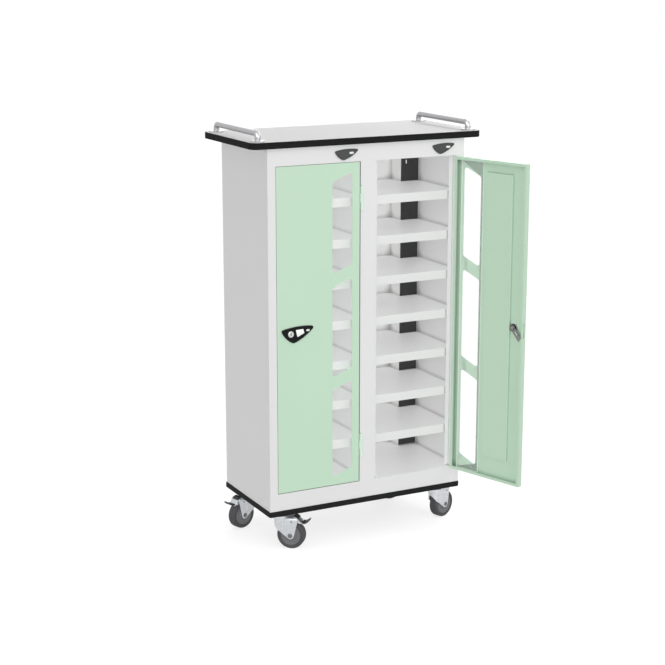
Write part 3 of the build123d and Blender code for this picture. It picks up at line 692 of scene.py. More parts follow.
@dataclass
class Finishes:
    """Every finish of the trolley, made once."""

    # Each powder coat darkens its colour in inside corners, gaps and seams as painted shade.
    grey: Material = made(PowderCoat("light_grey_powder_coat", "#DEDEDE", "#DADADA"))
    # The front frame's grey keeps its painted shade within 5 mm, so it darkens the door gaps and
    # little else.
    face: Material = made(
        PowderCoat("light_grey_powder_coat_face", "#DCDCDC", "#D8D8D8", shade_reach=5.0, depth=0.05)
    )
    green: Material = made(PowderCoat("pale_green_powder_coat", "#BDD7C1", "#B8D3BC", knee=0.7))
    # The hinge green is paler than the door green as a painted highlight on the knuckles; its
    # painted shade stays within 4 mm.
    hinge: Material = made(PowderCoat("pale_green_hinge_paint_painted_highlight", "#D6E8D9", "#CFE3D3", shade_reach=4.0))
    cover: Material = made(PowderCoat("white_powder_coat", "#DCDCDB", "#D7D7D6"))
    laminate: Material = made(Laminate("grey_pearl_laminate", "#C0C0C0", "#B6B6B6"))
    edging: Material = made(
        MouldedPlastic("black_abs_edging", "#1C1C1D", "#232324", 0.6, specular=0.03)
    )
    bumper: Material = made(
        MouldedPlastic("black_pvc_bumper", "#1E1E1F", "#262627", 0.6, specular=0.04)
    )
    board: Material = made(MouldedPlastic("black_melamine_board", "#1A1A1B", "#232324", 0.5))
    rail: Material = made(BrushedTube("satin_stainless_tube", "#BDBDBF", "#9D9D9F"))
    zinc: Material = made(PlatedSteel("bright_zinc_plate", "#DEE0E2", "#A6AAAE", 0.3, 6.0))
    chrome: Material = made(PlatedSteel("satin_chrome", "#D6D6D7", "#C2C2C3", 0.2, 3.0))
    steel: Material = made(PlatedSteel("nickel_plated_steel", "#9C9B98", "#7F7E7B", 0.28, 3.0))
    # This darker steel is painted shade, for the recess round the axle bolt.
    bolt: Material = made(PlatedSteel("dark_steel_painted_shade", "#868689", "#626266", 0.36, 3.0))
    gloss_black: Material = made(
        MouldedPlastic("gloss_black_abs", "#0B0B0C", "#101011", 0.2, relief=0.02, specular=0.14)
    )
    matt_black: Material = made(MouldedPlastic("black_nylon", "#161617", "#1F1F20", 0.5))
    badge: Material = made(MouldedPlastic("dark_grey_abs", "#2A2A2B", "#323233", 0.35))
    label: Material = made(MouldedPlastic("white_polycarbonate", "#F3F3F1", "#ECECEA", 0.3))
    lens: Material = made(MouldedPlastic("opal_acrylic_lens", "#DDEBDD", "#CFE0CF", 0.2))
    pane: Material = made(ClearSheet("clear_polycarbonate", "#F4F8F7"))
    rim: Material = made(MouldedPlastic("sawn_polycarbonate", "#E3ECE6", "#D6E2DA", 0.4))
    tread: Material = made(RubberTread("grey_rubber_tread", "#3D3D3F", "#4A4A4C"))
    core: Material = made(MouldedPlastic("grey_polypropylene", "#5E5E60", "#6A6A6C", 0.5))


# Sub-assemblies


@dataclass
class Assembly:
    """A group of nodes and pieces that share a frame of their own and the start of their names."""

    finishes: Finishes

    @property
    def place(self) -> Matrix:
        """Where the group's own frame stands in the row frame."""
        return Matrix()

    @property
    def prefix(self) -> str:
        """How the names of its nodes, pieces and bodies start."""
        return ""

    def dress(self, material: Material, *nodes: str) -> None:
        """Gives nodes of the frame their material.

        Args:
            material: Material for the whole of each node.
            *nodes: Names of the nodes after the prefix.
        """
        for node in nodes:
            data = bpy.data.objects[self.prefix + node].data
            data.materials.clear()
            data.materials.append(material)
            LOG.info("dressed %s with %s", self.prefix + node, material.name)

    def add(
        self,
        label: str,
        mesh: Mesh,
        material: Material,
        body: str,
        slot: Slot,
        sharp: float = 32.0,
    ) -> Piece:
        """Turns a mesh in millimetres into a piece that rides on a body.

        Args:
            label: Name of the piece after the prefix.
            mesh: Its mesh, in the group's own frame; it is freed.
            material: Its material.
            body: Body that it rides on.
            slot: Slot of the record for its finish; it is not used.
            sharp: Edges turning more than this many degrees stay sharp.

        Returns:
            The new object.
        """
        name = self.prefix + label
        mesh.transform(Matrix.Scale(MM, 4) @ self.place)
        data = bpy.data.meshes.new(name)
        mesh.to_mesh(data)
        mesh.free()
        data.materials.append(material)
        data.shade_smooth()
        data.set_sharp_from_angle(angle=math.radians(sharp))
        piece = bpy.data.objects.new(name, data)
        bpy.context.scene.collection.objects.link(piece)
        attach(piece, body)
        LOG.info("built %s on %s", name, body)
        return piece


@dataclass
class Worktop(Assembly):
    """The laminated board, its edging and the two hand rails on it."""

    top: float = 1155.0
    post: Point = (325.0, 137.5)
    tube_r: float = 8.0
    flange_t: float = 3.0
    weld: float = 2.2
    weld_root: Point = (0.3, 0.2)

    def build(self) -> None:
        """Dresses the board and rails and adds the weld round each post."""
        self.dress(self.finishes.laminate, "worktop_board")
        self.dress(self.finishes.edging, "worktop_edge")
        for side, sign in ((Side.LEFT, -1), (Side.RIGHT, 1)):
            self.dress(self.finishes.rail, f"{side.value}_handrail")
            self.welds(side, sign)

    def welds(self, side: Side, sign: int) -> None:
        """Builds the small fillet where the posts of one rail meet their flanges.

        Args:
            side: Which rail.
            sign: -1 at the left and 1 at the right.
        """
        seat = self.top + self.flange_t
        inside, below = self.tube_r - self.weld_root[0], seat - self.weld_root[1]
        curve = arc((self.tube_r + self.weld, seat + self.weld), self.weld, 180, 270, 6)
        profile = [(inside, below), *reversed(curve[1:]), (inside, seat + self.weld)]
        x, y = self.post
        spots = ((sign * x, -y, 0), (sign * x, y, 0))
        rings = [moved(lathe(profile, turns=48), Matrix.Translation(spot)) for spot in spots]
        label = f"{side.value}_rail_welds"
        self.add(label, join(rings), self.finishes.rail, CABINET, Slot.RAIL, sharp=60)


@dataclass
class Base(Assembly):
    """The board under the lockers and the bumper round it."""

    def build(self) -> None:
        """Dresses the board and bumper."""
        self.dress(self.finishes.board, "base_board")
        self.dress(self.finishes.bumper, "base_bumper")


@dataclass
class LockerPart(Assembly):
    """Something of one locker, measured from its left side, its front and the floor."""

    side: Side
    left: float
    front: float = field(default=-152.5, kw_only=True)
    face: float = field(default=-5.0, kw_only=True)
    recess: float = field(default=0.6, kw_only=True)

    @property
    def place(self) -> Matrix:
        """Where the locker's own frame stands."""
        return Matrix.Translation((self.left, self.front, 0))

    @property
    def prefix(self) -> str:
        """Which locker it is, as its names start."""
        return f"{self.side.value}_"

    def add_lens(self, label: str, centre: Point, size: Point, body: str) -> None:
        """Adds a lens with round ends that fills its seat in a black moulding.

        Args:
            label: Name of the lens after the prefix.
            centre: Its middle.
            size: Its width and height.
            body: Body that it rides on.
        """
        outline = rounded_box(size, size[1] / 2, centre)
        mesh = bar(outline, (self.face - 0.2, self.face + self.recess), edge=0.35)
        self.add(label, mesh, self.finishes.lens, body, Slot.PLASTIC)


@dataclass
class Locker(LockerPart):
    """One locker's body, shelves, charging column and header badge."""

    shelves: int = 7
    strip_x: float = 241.8
    strip_y: float = 242.8
    strip_w: float = 57.0
    port: Point = (13.2, 5.8)
    port_wall: float = 0.4
    port_pitch: float = 24.0
    port_first_z: float = 254.5
    port_row: float = 115.0
    port_y: Point = (-0.25, 1.9)
    light_at: Point = (257.19, 1043.0)
    light_size: Point = (2.6, 11.0)
    light_y: Point = (-0.8, 0.3)
    badge_lens: Point = (250.0, 1113.2)
    badge_lens_size: Point = (13.8, 5.8)
    vent_x: float = 120.4
    vent_z: Point = (298.0, 1012.0)
    vent_size: Point = (119.96, 3.96)
    vent_pitch: float = 14.0
    vent_rows: int = 6
    shade_sheet_y: Point = (303.9, 304.2)

    def build(self) -> None:
        """Dresses the locker's nodes and adds its small pieces."""
        shelves = [f"shelf_{number}" for number in range(1, self.shelves + 1)]
        self.dress(self.finishes.grey, "cabinet_shell", *shelves)
        self.dress(self.finishes.face, "front_frame")
        self.dress(self.finishes.cover, "charge_column")
        self.dress(self.finishes.matt_black, "charge_strip")
        self.port_shells()
        self.strip_light()
        self.vent_shade_sheets()
        self.add_lens("badge_lens", self.badge_lens, self.badge_lens_size, CABINET)

    def port_shells(self) -> None:
        """Builds the folded metal shell round each charging port."""
        middle = self.strip_x + self.strip_w / 2
        inner = (self.port[0] - 2 * self.port_wall, self.port[1] - 2 * self.port_wall)
        ends = (self.strip_y + self.port_y[0], self.strip_y + self.port_y[1])
        meshes = []
        for row in range(self.shelves + 1):
            for sign in (-1, 1):
                x = middle + sign * self.port_pitch / 2
                centre = (x, self.port_first_z + row * self.port_row)
                rim = rounded_box(self.port, 0.6, centre, steps=3)
                mouth = rounded_box(inner, 0.4, centre, steps=3)
                meshes.append(frame_ring(rim, mouth, ends))
        self.add("port_shells", join(meshes), self.finishes.steel, CABINET, Slot.METAL)

    def strip_light(self) -> None:
        """Builds the small upright status light near the top of the strip."""
        outline = rounded_box(self.light_size, 1.2, self.light_at)
        ends = (self.strip_y + self.light_y[0], self.strip_y + self.light_y[1])
        mesh = bar(outline, ends, edge=0.4)
        self.add("strip_light", mesh, self.finishes.label, CABINET, Slot.PLASTIC)

    def vent_shade_sheets(self) -> None:
        """Builds a black sheet inside each slot of the back, as painted shade in the slots."""
        strips = []
        for middle in self.vent_z:
            for row in range(self.vent_rows):
                z = middle + (row - (self.vent_rows - 1) / 2) * self.vent_pitch
                outline = rounded_box(self.vent_size, 1.97, (self.vent_x, z), steps=4)
                strips.append(bar(outline, self.shade_sheet_y))
        self.add("vent_shade_sheets", join(strips), self.finishes.matt_black, CABINET, Slot.PLASTIC)


@dataclass
class LockerDoor(LockerPart):
    """One door with its pane, stiffener, hinge leaves and lock."""

    rest: float
    hinge: Point = (283.6, -3.6)
    lock: Point = (64.3, 628.0)
    barrel_r: float = 7.2
    ring_gap: float = 0.12
    ring_w: float = 1.4
    ring_h: float = 0.9
    label_corners: tuple[Point, ...] = ((14.9, 10.7), (37.7, 11.6), (41.4, -0.3), (19.5, -10.2))
    label_r: float = 1.5
    lens_off: Point = (52.0, 6.5)
    lens_size: Point = (10.8, 5.3)
    pane_x: Point = (185.0, 264.0)
    pane_z: Point = (178.3, 1082.7)
    pane_y: Point = (1.2, 3.2)
    rim_over: float = 0.1
    rim_under: float = 1.4
    nut_r: float = 13.3
    nut_y: Point = (1.1, 5.6)
    nut_facets: int = 24
    sleeve_r: float = 11.05
    keyway: Point = (2.3, 7.9)
    cam_face: float = 10.0
    cam_hang: float = 50.0
    washer: tuple[Point, ...] = ((5.6, -0.05), (9.2, -0.05), (9.2, 0.7), (8.8, 0.9), (5.6, 0.9))
    dome: tuple[Point, ...] = ((0, 4.3), (1.4, 4.1), (2.6, 3.6), (3.4, 3.0), (3.4, 2.8), (0, 2.8))
    lobe: tuple[Point, ...] = ((0, 1.1), (2.6, 1.0), (3.4, 0.6), (3.6, -0.1), (0, -0.1))
    lobe_x: float = 34.0
    rib_x: float = 19.0

    @property
    def place(self) -> Matrix:
        """Where the door's frame stands, turned on its hinge.

        Returns:
            The turn about the hinge pin, in the locker's place.
        """
        x, y = self.hinge
        turn = Matrix.Translation((x, y, 0)) @ Matrix.Rotation(math.radians(self.rest), 4, "Z")
        return super().place @ turn @ Matrix.Translation((-x, -y, 0))

    @property
    def door(self) -> str:
        """Name of the body that the door and its fixed pieces ride on."""
        return f"{self.prefix}door"

    @property
    def plug(self) -> str:
        """Name of the body that turns with the key."""
        return f"{self.prefix}lock"

    def build(self) -> None:
        """Dresses the door's nodes and adds the pieces on its lock."""
        self.dress(self.finishes.green, "door", "door_stiffener")
        self.dress(self.finishes.hinge, "hinge_door_leaves")
        self.dress(self.finishes.pane, "window_pane")
        # A clear sheet throws next to no shadow.
        bpy.data.objects[f"{self.prefix}window_pane"].visible_shadow = False
        self.dress(self.finishes.gloss_black, "lock_housing")
        self.dress(self.finishes.chrome, "lock_barrel")
        self.dress(self.finishes.steel, "lock_cam")
        self.pane_rim()
        self.lock_ring()
        self.label()
        centre = (self.lock[0] + self.lens_off[0], self.lock[1] + self.lens_off[1])
        self.add_lens("lock_lens", centre, self.lens_size, self.door)
        self.lock_nut()
        self.shaded_wafers()
        self.cam_fittings()

    def pane_rim(self) -> None:
        """Builds the sawn edge of the pane, which is whiter than its faces."""
        (low_x, high_x), (low_z, high_z), (near, far) = self.pane_x, self.pane_z, self.pane_y
        centre = ((low_x + high_x) / 2, (low_z + high_z) / 2)
        outer = (high_x - low_x + self.rim_over, high_z - low_z + self.rim_over)
        inner = (high_x - low_x - self.rim_under, high_z - low_z - self.rim_under)
        rim, mouth = (rounded_box(size, 0.3, centre, steps=1) for size in (outer, inner))
        mesh = frame_ring(rim, mouth, (near - self.rim_over / 2, far + self.rim_over / 2))
        self.add("pane_rim", mesh, self.finishes.rim, self.door, Slot.CLEAR)

    def lock_ring(self) -> None:
        """Builds the plated ring round the key barrel."""
        inner = self.barrel_r + self.ring_gap
        outer = inner + self.ring_w
        profile = [
            (inner, -0.1),
            (outer, -0.1),
            (outer, self.ring_h * 0.4),
            *arc((outer - 0.5, self.ring_h * 0.45), 0.5, 0, 90, 4),
            (inner + 0.2, self.ring_h * 0.95),
            (inner, self.ring_h * 0.7),
        ]
        seat = facing(90, (self.lock[0], self.face, self.lock[1]))
        ring = moved(lathe(profile, turns=64, closed=True), seat)
        self.add("lock_ring", ring, self.finishes.chrome, self.door, Slot.METAL)

    def label_circles(self) -> list[Circle]:
        """Finds the circles in the corners of the label plate, which its outline goes round.

        Returns:
            Centre and radius of each circle.
        """
        spots = [Vector(corner) for corner in self.label_corners]
        circles = []
        for i, spot in enumerate(spots):
            ahead = (spots[(i + 1) % len(spots)] - spot).normalized()
            behind = (spots[i - 1] - spot).normalized()
            middle = (ahead + behind).normalized()
            half_angle = math.acos(max(-1.0, min(1.0, ahead.dot(behind)))) / 2
            centre = spot + middle * (self.label_r / math.sin(half_angle))
            circles.append((self.lock[0] + centre.x, self.lock[1] + centre.y, self.label_r))
        return circles

    def label(self) -> None:
        """Builds the blank white label plate in its seat on the escutcheon."""
        outline = belt(self.label_circles(), inset=0.2)
        mesh = bar(outline, (self.face - 0.1, self.face + self.recess), edge=0.25)
        self.add("lock_label", mesh, self.finishes.label, self.door, Slot.PLASTIC)

    @staticmethod
    def hexagon_share(angle: float) -> float:
        """How far a hexagon's edge is from its centre at an angle, as a share of its corners."""
        sixth = math.tau / 6
        return math.cos(sixth / 2) / math.cos((angle % sixth) - sixth / 2)

    def lock_nut(self) -> None:
        """Builds the large nut that clamps the lock's sleeve to the inside of the door."""
        turn = [math.tau * i / self.nut_facets for i in range(self.nut_facets)]
        rim = [polar(self.nut_r * self.hexagon_share(angle), angle, self.lock) for angle in turn]
        mouth = [polar(self.sleeve_r, angle, self.lock) for angle in turn]
        nut = frame_ring(rim, mouth, self.nut_y)
        self.add("lock_nut", nut, self.finishes.zinc, self.door, Slot.ZINC)

    def shaded_wafers(self) -> None:
        """Builds the wafer ends in the keyway, black as the keyway's painted shade."""
        outline = rounded_box(self.keyway, 1.1, self.lock, steps=3)
        mesh = bar(outline, (self.face + 0.1, self.face + 0.9), edge=0.1)
        self.add("lock_wafers_in_shade", mesh, self.finishes.matt_black, self.plug, Slot.METAL)

    def cam_fittings(self) -> None:
        """Builds the washer, the domed end of the stud and the pressed rib on the cam."""
        hang = Matrix.Rotation(math.radians(180 - self.cam_hang), 4, "Y")
        seat = Matrix.Translation((self.lock[0], self.cam_face, self.lock[1])) @ hang
        washer = moved(lathe(self.washer, turns=48, closed=True), seat @ facing(-90))
        self.add("cam_washer", washer, self.finishes.bolt, self.plug, Slot.METAL)
        foot = rounded_box((15.0, 5.0), 2.4, (self.rib_x, 0.0))
        crest = rounded_box((13.0, 3.0), 1.4, (self.rib_x, 0.0))
        rib = moved(stack([(foot, -0.1), (foot, 0.5), (crest, 1.2)]), seat)
        dome = moved(lathe(self.dome, turns=32), seat @ facing(-90))
        lobe = moved(lathe(self.lobe, turns=32), seat @ facing(-90, (self.lobe_x, 0, 0)))
        pressing = join([dome, rib, lobe])
        self.add("cam_pressing", pressing, self.finishes.steel, self.plug, Slot.METAL)


@dataclass
class Caster(Assembly):
    """One swivel caster: pressed fork, wheel, axle and, where braked, its pedal.

    Its own frame has the kingpin on Z, and the wheel trails towards +X. Fields that end in `line`
    are steps from a corner or a pivot.
    """

    corner: Corner
    kingpin: Point
    turn: float
    braked: bool
    axle: Point = (35.0, 40.0)
    wheel_r: float = 40.0
    wheel_w: float = 26.0
    shoulder_r: float = 4.0
    rim_r: float = 30.0
    bead_line: tuple[Point, ...] = ((-0.6, -2.4), (0.3, -1.1), (1.2, -0.5), (2.2, 0.0))
    tread_y: float = 2.0
    seat_line: tuple[Point, ...] = ((-1.2, -2.4),)
    hub_r: float = 10.0
    rim_line: tuple[Point, ...] = (
        (-0.8, -3.4),
        (-0.8, -1.6),
        (-1.3, -1.0),
        (-3.0, -1.0),
        (-3.8, -1.8),
        (-4.6, -3.0),
    )
    web_line: tuple[Point, ...] = ((8.0, -3.3), (7.0, -2.4), (3.2, -2.0))
    hub_line: tuple[Point, ...] = ((1.4, -1.4), (0.0, -0.5), (-1.0, 0.0), (-5.9, 0.0))
    hub_gap: float = 0.4
    leg_in: float = 15.0
    leg_t: float = 2.5
    leg_rounds: tuple[Circle, ...] = ((6.0, 82.0, 8.0), (7.0, 55.5, 6.0), (45.0, 84.0, 8.0))
    # Inset and depth of each step, from the leg's inner face to the top of its raised panel.
    leg_steps: tuple[Point, ...] = (
        (0.5, 0.0),
        (0.0, 0.5),
        (0.0, 2.0),
        (0.5, 2.5),
        (3.0, 2.5),
        (4.0, 3.175),
        (5.0, 3.4),
    )
    panel_lift: float = 0.9
    boss_r: float = 10.5
    head_z: float = 91.6
    head_t: float = 8.0
    head_r: float = 27.0
    head_bore: float = 5.1
    lip_line: tuple[Point, ...] = ((-2.4, 0.0), (-2.0, -1.6), (-0.6, -1.8), (0.0, -1.0), (0.0, 2.6))
    lip_r: float = 3.0
    race_line: tuple[Point, ...] = ((-4.2, -2.4), (-5.5, -0.6), (-6.4, 0.0))
    bend_r: float = 6.0
    # Place along the leg, and how full the bend is there.
    bend_fade: tuple[Point, ...] = (
        (-3.0, 0.35),
        (0.0, 0.85),
        (4.0, 1.0),
        (13.0, 1.0),
        (18.0, 0.85),
        (21.5, 0.35),
    )
    tuck: float = 1.0
    web_x: float = 2.5
    web_tip: float = 73.0
    web_drop: float = 21.0
    web_lip: float = 0.6
    web_facets: int = 24
    rivet: Point = (39.0, 82.0)
    rivet_head: tuple[Point, ...] = ((0, 0.9), (1.5, 0.8), (2.4, 0.3), (2.6, -0.3), (0, -0.3))
    bolt_seat: float = 0.6
    bolt_r: float = 3.9
    # Ends of the shank, as radius and place along it from the seat of each washer.
    bolt_near: tuple[Point, ...] = ((0, -2.6), (3.9, -2.2))
    bolt_far: tuple[Point, ...] = ((3.9, 2.6), (3.2, 3.0), (0, 3.0))
    bolt_hex_r: float = 5.8
    washer_r: float = 7.0
    washer_top: float = 0.3
    hex_top: float = 2.4
    pivot: Point = (50.0, 86.0)
    ear_r: float = 7.5
    pedal_w: float = 27.0
    cheek: tuple[Circle, ...] = ((0.0, 0.0, 5.4), (13.0, -6.5, 3.0), (-3.0, 6.5, 2.5))
    cheek_t: float = 1.8
    lever_line: tuple[Point, ...] = (
        (-5.5, 9.0),
        (2.0, 6.5),
        (12.0, -3.0),
        (20.0, -9.5),
        (25.0, -8.6),
    )
    blade_line: tuple[Point, ...] = (
        (19.5, -7.0),
        (24.5, -7.2),
        (31.0, -4.5),
        (36.0, -0.5),
        (38.6, 1.6),
    )
    pad_line: tuple[Point, ...] = ((-6.0, 10.6), (0.5, 9.0), (7.0, 3.6))

    @property
    def place(self) -> Matrix:
        """Where the caster's own frame stands, turned the way that it trails."""
        turn = Matrix.Rotation(math.radians(self.turn), 4, "Z")
        return Matrix.Translation((*self.kingpin, 0)) @ turn

    @property
    def prefix(self) -> str:
        """Which corner it is at, as its names start."""
        return f"{self.corner.value}_"

    @property
    def leg_out(self) -> float:
        """How far the legs' outer faces are from the middle."""
        return self.leg_in + self.leg_t

    def build(self) -> None:
        """Builds the caster's pieces in place of its plain nodes."""
        self.tyre()
        self.wheel_centre()
        self.fork()
        self.axle_bolt()
        if self.braked:
            self.pedal()

    def spin(self, profile: Sequence[Point], turns: int = 96, closed: bool = False) -> Mesh:
        """Turns a profile of radii and places along the axle, as lathe does, round the axle."""
        return moved(lathe(profile, turns, closed), facing(-90, (self.axle[0], 0, self.axle[1])))

    def tyre(self) -> None:
        """Builds the tread with its round shoulders and bead lines."""
        half = self.wheel_w / 2
        r = self.shoulder_r
        side = [
            *offsets((self.rim_r, half), self.seat_line + self.bead_line),
            *arc((self.wheel_r - r, half - r), r, 90, 0, 8),
            (self.wheel_r, self.tread_y),
        ]
        mesh = self.spin(mirror(side), turns=120, closed=True)
        body = f"{self.prefix}roller"
        piece = self.add("tyre", mesh, self.finishes.tread, body, Slot.TYRE, sharp=50)
        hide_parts(f"{self.prefix}wheel")

    def wheel_centre(self) -> None:
        """Builds the moulded centre with its rim ring, dished web and hub."""
        half = self.wheel_w / 2
        side = [
            *offsets((self.rim_r, half), self.rim_line),
            *offsets((self.hub_r, half), self.web_line),
            *offsets((self.hub_r, self.leg_in - self.hub_gap), self.hub_line),
        ]
        mesh = self.spin(mirror(side), closed=True)
        body = f"{self.prefix}roller"
        self.add("wheel_centre", mesh, self.finishes.core, body, Slot.TYRE, sharp=28)

    def leg_circles(self) -> list[Circle]:
        """Finds the circles that a fork leg's outline goes round.

        Returns:
            Centre and radius of each circle.
        """
        circles = [*self.leg_rounds, (*self.axle, self.boss_r)]
        if self.braked:
            circles.append((*self.pivot, self.ear_r))
        return circles

    def leg(self, sign: int) -> Mesh:
        """Builds one pressed leg with its raised panel.

        Args:
            sign: 1 for the leg at +Y and -1 for the other.

        Returns:
            The leg.
        """
        circles = self.leg_circles()
        return stack(
            [(belt(circles, inset), sign * (self.leg_in + deep)) for inset, deep in self.leg_steps]
        )

    def shoulder(self, sign: int) -> Mesh:
        """Builds the bend between a leg and the crown.

        Args:
            sign: 1 for the leg at +Y and -1 for the other.

        Returns:
            The bend.
        """
        corner, top = self.leg_out + self.bend_r, self.head_z + self.tuck
        inside, low = self.leg_out - self.tuck, self.head_z - self.bend_r
        curve = arc((corner, low), self.bend_r, 180, 90, 6)
        section = [*curve, (corner, top), (inside, top), (inside, low)]
        rings = []
        for x, share in self.bend_fade:
            spread = [inside + (y - inside) * share for y, _ in section]
            drop = [self.head_z - (self.head_z - z) * share for _, z in section]
            rings.append([(x, sign * y, z) for y, z in zip(spread, drop)])
        return skin(rings, ends=True)

    def front_web(self) -> Mesh:
        """Builds the curved front of the pressing, which joins the two legs under the crown.

        Returns:
            The curved front.
        """
        top = self.head_z + self.tuck
        rings = []
        for step in range(self.web_facets + 1):
            angle = math.radians(90 + 180 * step / self.web_facets)
            low = self.web_tip - self.web_drop * math.sin(angle) ** 2
            outer, inner = (polar(r, angle, (self.web_x, 0.0)) for r in (self.leg_out, self.leg_in))
            lip = low + self.web_lip
            rings.append([(*outer, lip), (*outer, top), (*inner, top), (*inner, low)])
        return skin(rings, ends=True)

    def leg_rivet(self, sign: int) -> Mesh:
        """Builds the small rivet high on a leg.

        Args:
            sign: 1 for the leg at +Y and -1 for the other.

        Returns:
            The rivet.
        """
        x, z = self.rivet
        seat = facing(-90 * sign, (x, sign * (self.leg_out + self.panel_lift), z))
        return moved(lathe(self.rivet_head, turns=24), seat)

    def fork(self) -> None:
        """Builds the crown with its rolled race, the curved front and the two legs."""
        top = self.head_z + self.head_t
        lip = offsets((self.head_r, self.head_z), self.lip_line)
        crown = [
            (self.head_bore, self.head_z),
            *lip[:-1],
            *arc((self.head_r - self.lip_r, lip[-1][1]), self.lip_r, 0, 75, 5),
            *offsets((self.head_r, top), self.race_line),
            (self.head_bore, top),
        ]
        meshes = [lathe(crown, closed=True), self.front_web()]
        for sign in (-1, 1):
            meshes += [self.leg(sign), self.shoulder(sign)]
        body = f"{self.prefix}swivel"
        piece = self.add("fork_pressing", join(meshes), self.finishes.zinc, body, Slot.ZINC)
        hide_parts(f"{self.prefix}fork")

    def axle_bolt(self) -> None:
        """Builds the axle with its washers, hex head and nut, and the rivet on each leg."""
        seat = self.leg_out + self.bolt_seat
        shank = [*offsets((0, -seat), self.bolt_near), *offsets((0, seat), self.bolt_far)]
        hexagon = [polar(self.bolt_hex_r, math.tau * (i + 0.5) / 6, self.axle) for i in range(6)]
        meshes = [self.spin(shank, turns=32)]
        for sign in (-1, 1):
            low, high = sign * self.leg_out, sign * (seat + self.washer_top)
            washer = [(self.bolt_r, low), (self.washer_r, low), (self.washer_r, high)]
            meshes.append(self.spin([*washer, (self.bolt_r, high)], turns=48, closed=True))
            y0, y1 = sorted((high, sign * (seat + self.hex_top)))
            meshes += [bar(hexagon, (y0, y1), edge=0.5), self.leg_rivet(sign)]
        body = f"{self.prefix}swivel"
        self.add("axle_bolt", join(meshes), self.finishes.bolt, body, Slot.ZINC)

    def pedal(self) -> None:
        """Builds the brake's pressed lever and its two black pads."""
        body = f"{self.prefix}brake"
        half = self.pedal_w / 2
        x, z = self.pivot
        cheek = [(x + dx, z + dz, radius) for dx, dz, radius in self.cheek]
        soft = 0.3
        tight, full = belt(cheek, soft), belt(cheek)
        meshes = []
        for sign in (-1, 1):
            y0, y1 = sorted((sign * (half - self.cheek_t), sign * half))
            loops = [(tight, y0), (full, y0 + soft), (full, y1 - soft), (tight, y1)]
            meshes.append(stack(loops))
        web = smooth_path(offsets(self.pivot, self.lever_line))
        meshes.append(bar(ribbon(web, [1.1] * len(web)), (-half, half), edge=0.4))
        pressing = join(meshes)
        lever = self.add("brake_lever", pressing, self.finishes.zinc, body, Slot.ZINC, sharp=40)
        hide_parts(f"{self.prefix}brake_pedal")
        blade = smooth_path(offsets(self.pivot, self.blade_line))
        taper = [2.6 - 0.9 * i / (len(blade) - 1) for i in range(len(blade))]
        foot = bar(ribbon(blade, taper), (0.4 - half, half - 0.4), edge=0.9, rounds=3)
        self.add("brake_blade", foot, self.finishes.matt_black, body, Slot.PLASTIC, sharp=50)
        cap = smooth_path(offsets(self.pivot, self.pad_line))
        pad = bar(ribbon(cap, [1.8] * len(cap)), (1.0 - half, half - 1.0), edge=0.8, rounds=3)
        self.add("brake_pad", pad, self.finishes.matt_black, body, Slot.PLASTIC, sharp=50)


@dataclass
class Fittings(Assembly):
    """Nodes that both lockers or all casters share, and the mains inlet."""

    inlet: Point = (272.3, 233.0)
    back: float = 152.5
    flange_t: float = 2.5
    socket_d: float = 20.0
    pin: Point = (2.3, 4.3)
    pin_l: float = 14.2
    pin_pitch: float = 7.0
    screw_x: float = 19.0
    screw: tuple[Point, ...] = ((0, 1.5), (1.4, 1.45), (2.5, 0.9), (3.0, -0.2), (0, -0.2))

    def build(self) -> None:
        """Dresses the shared nodes and adds the inlet's blades and screws."""
        self.dress(self.finishes.grey, "roof_panels", "floor_panels")
        self.dress(self.finishes.hinge, "hinge_frame_leaves")
        self.dress(self.finishes.zinc, "hinge_pins", "caster_plates", "caster_bolts")
        self.dress(self.finishes.badge, "fascia_badges")
        self.dress(self.finishes.matt_black, "mains_inlet")
        self.inlet_metal()

    def inlet_metal(self) -> None:
        """Builds the three nickel blades of the inlet and its two screws."""
        x, z = self.inlet
        mouth = self.back + self.flange_t
        root = mouth - self.socket_d
        meshes = []
        for step in (-1, 0, 1):
            outline = rounded_box(self.pin, 0.5, (x + step * self.pin_pitch, z), steps=3)
            meshes.append(bar(outline, (root, root + self.pin_l), edge=0.5))
        for sign in (-1, 1):
            seat = facing(-90, (x + sign * self.screw_x, mouth, z))
            meshes.append(moved(lathe(self.screw, turns=32), seat))
        self.add("inlet_metal", join(meshes), self.finishes.steel, CABINET, Slot.METAL)


# Studio


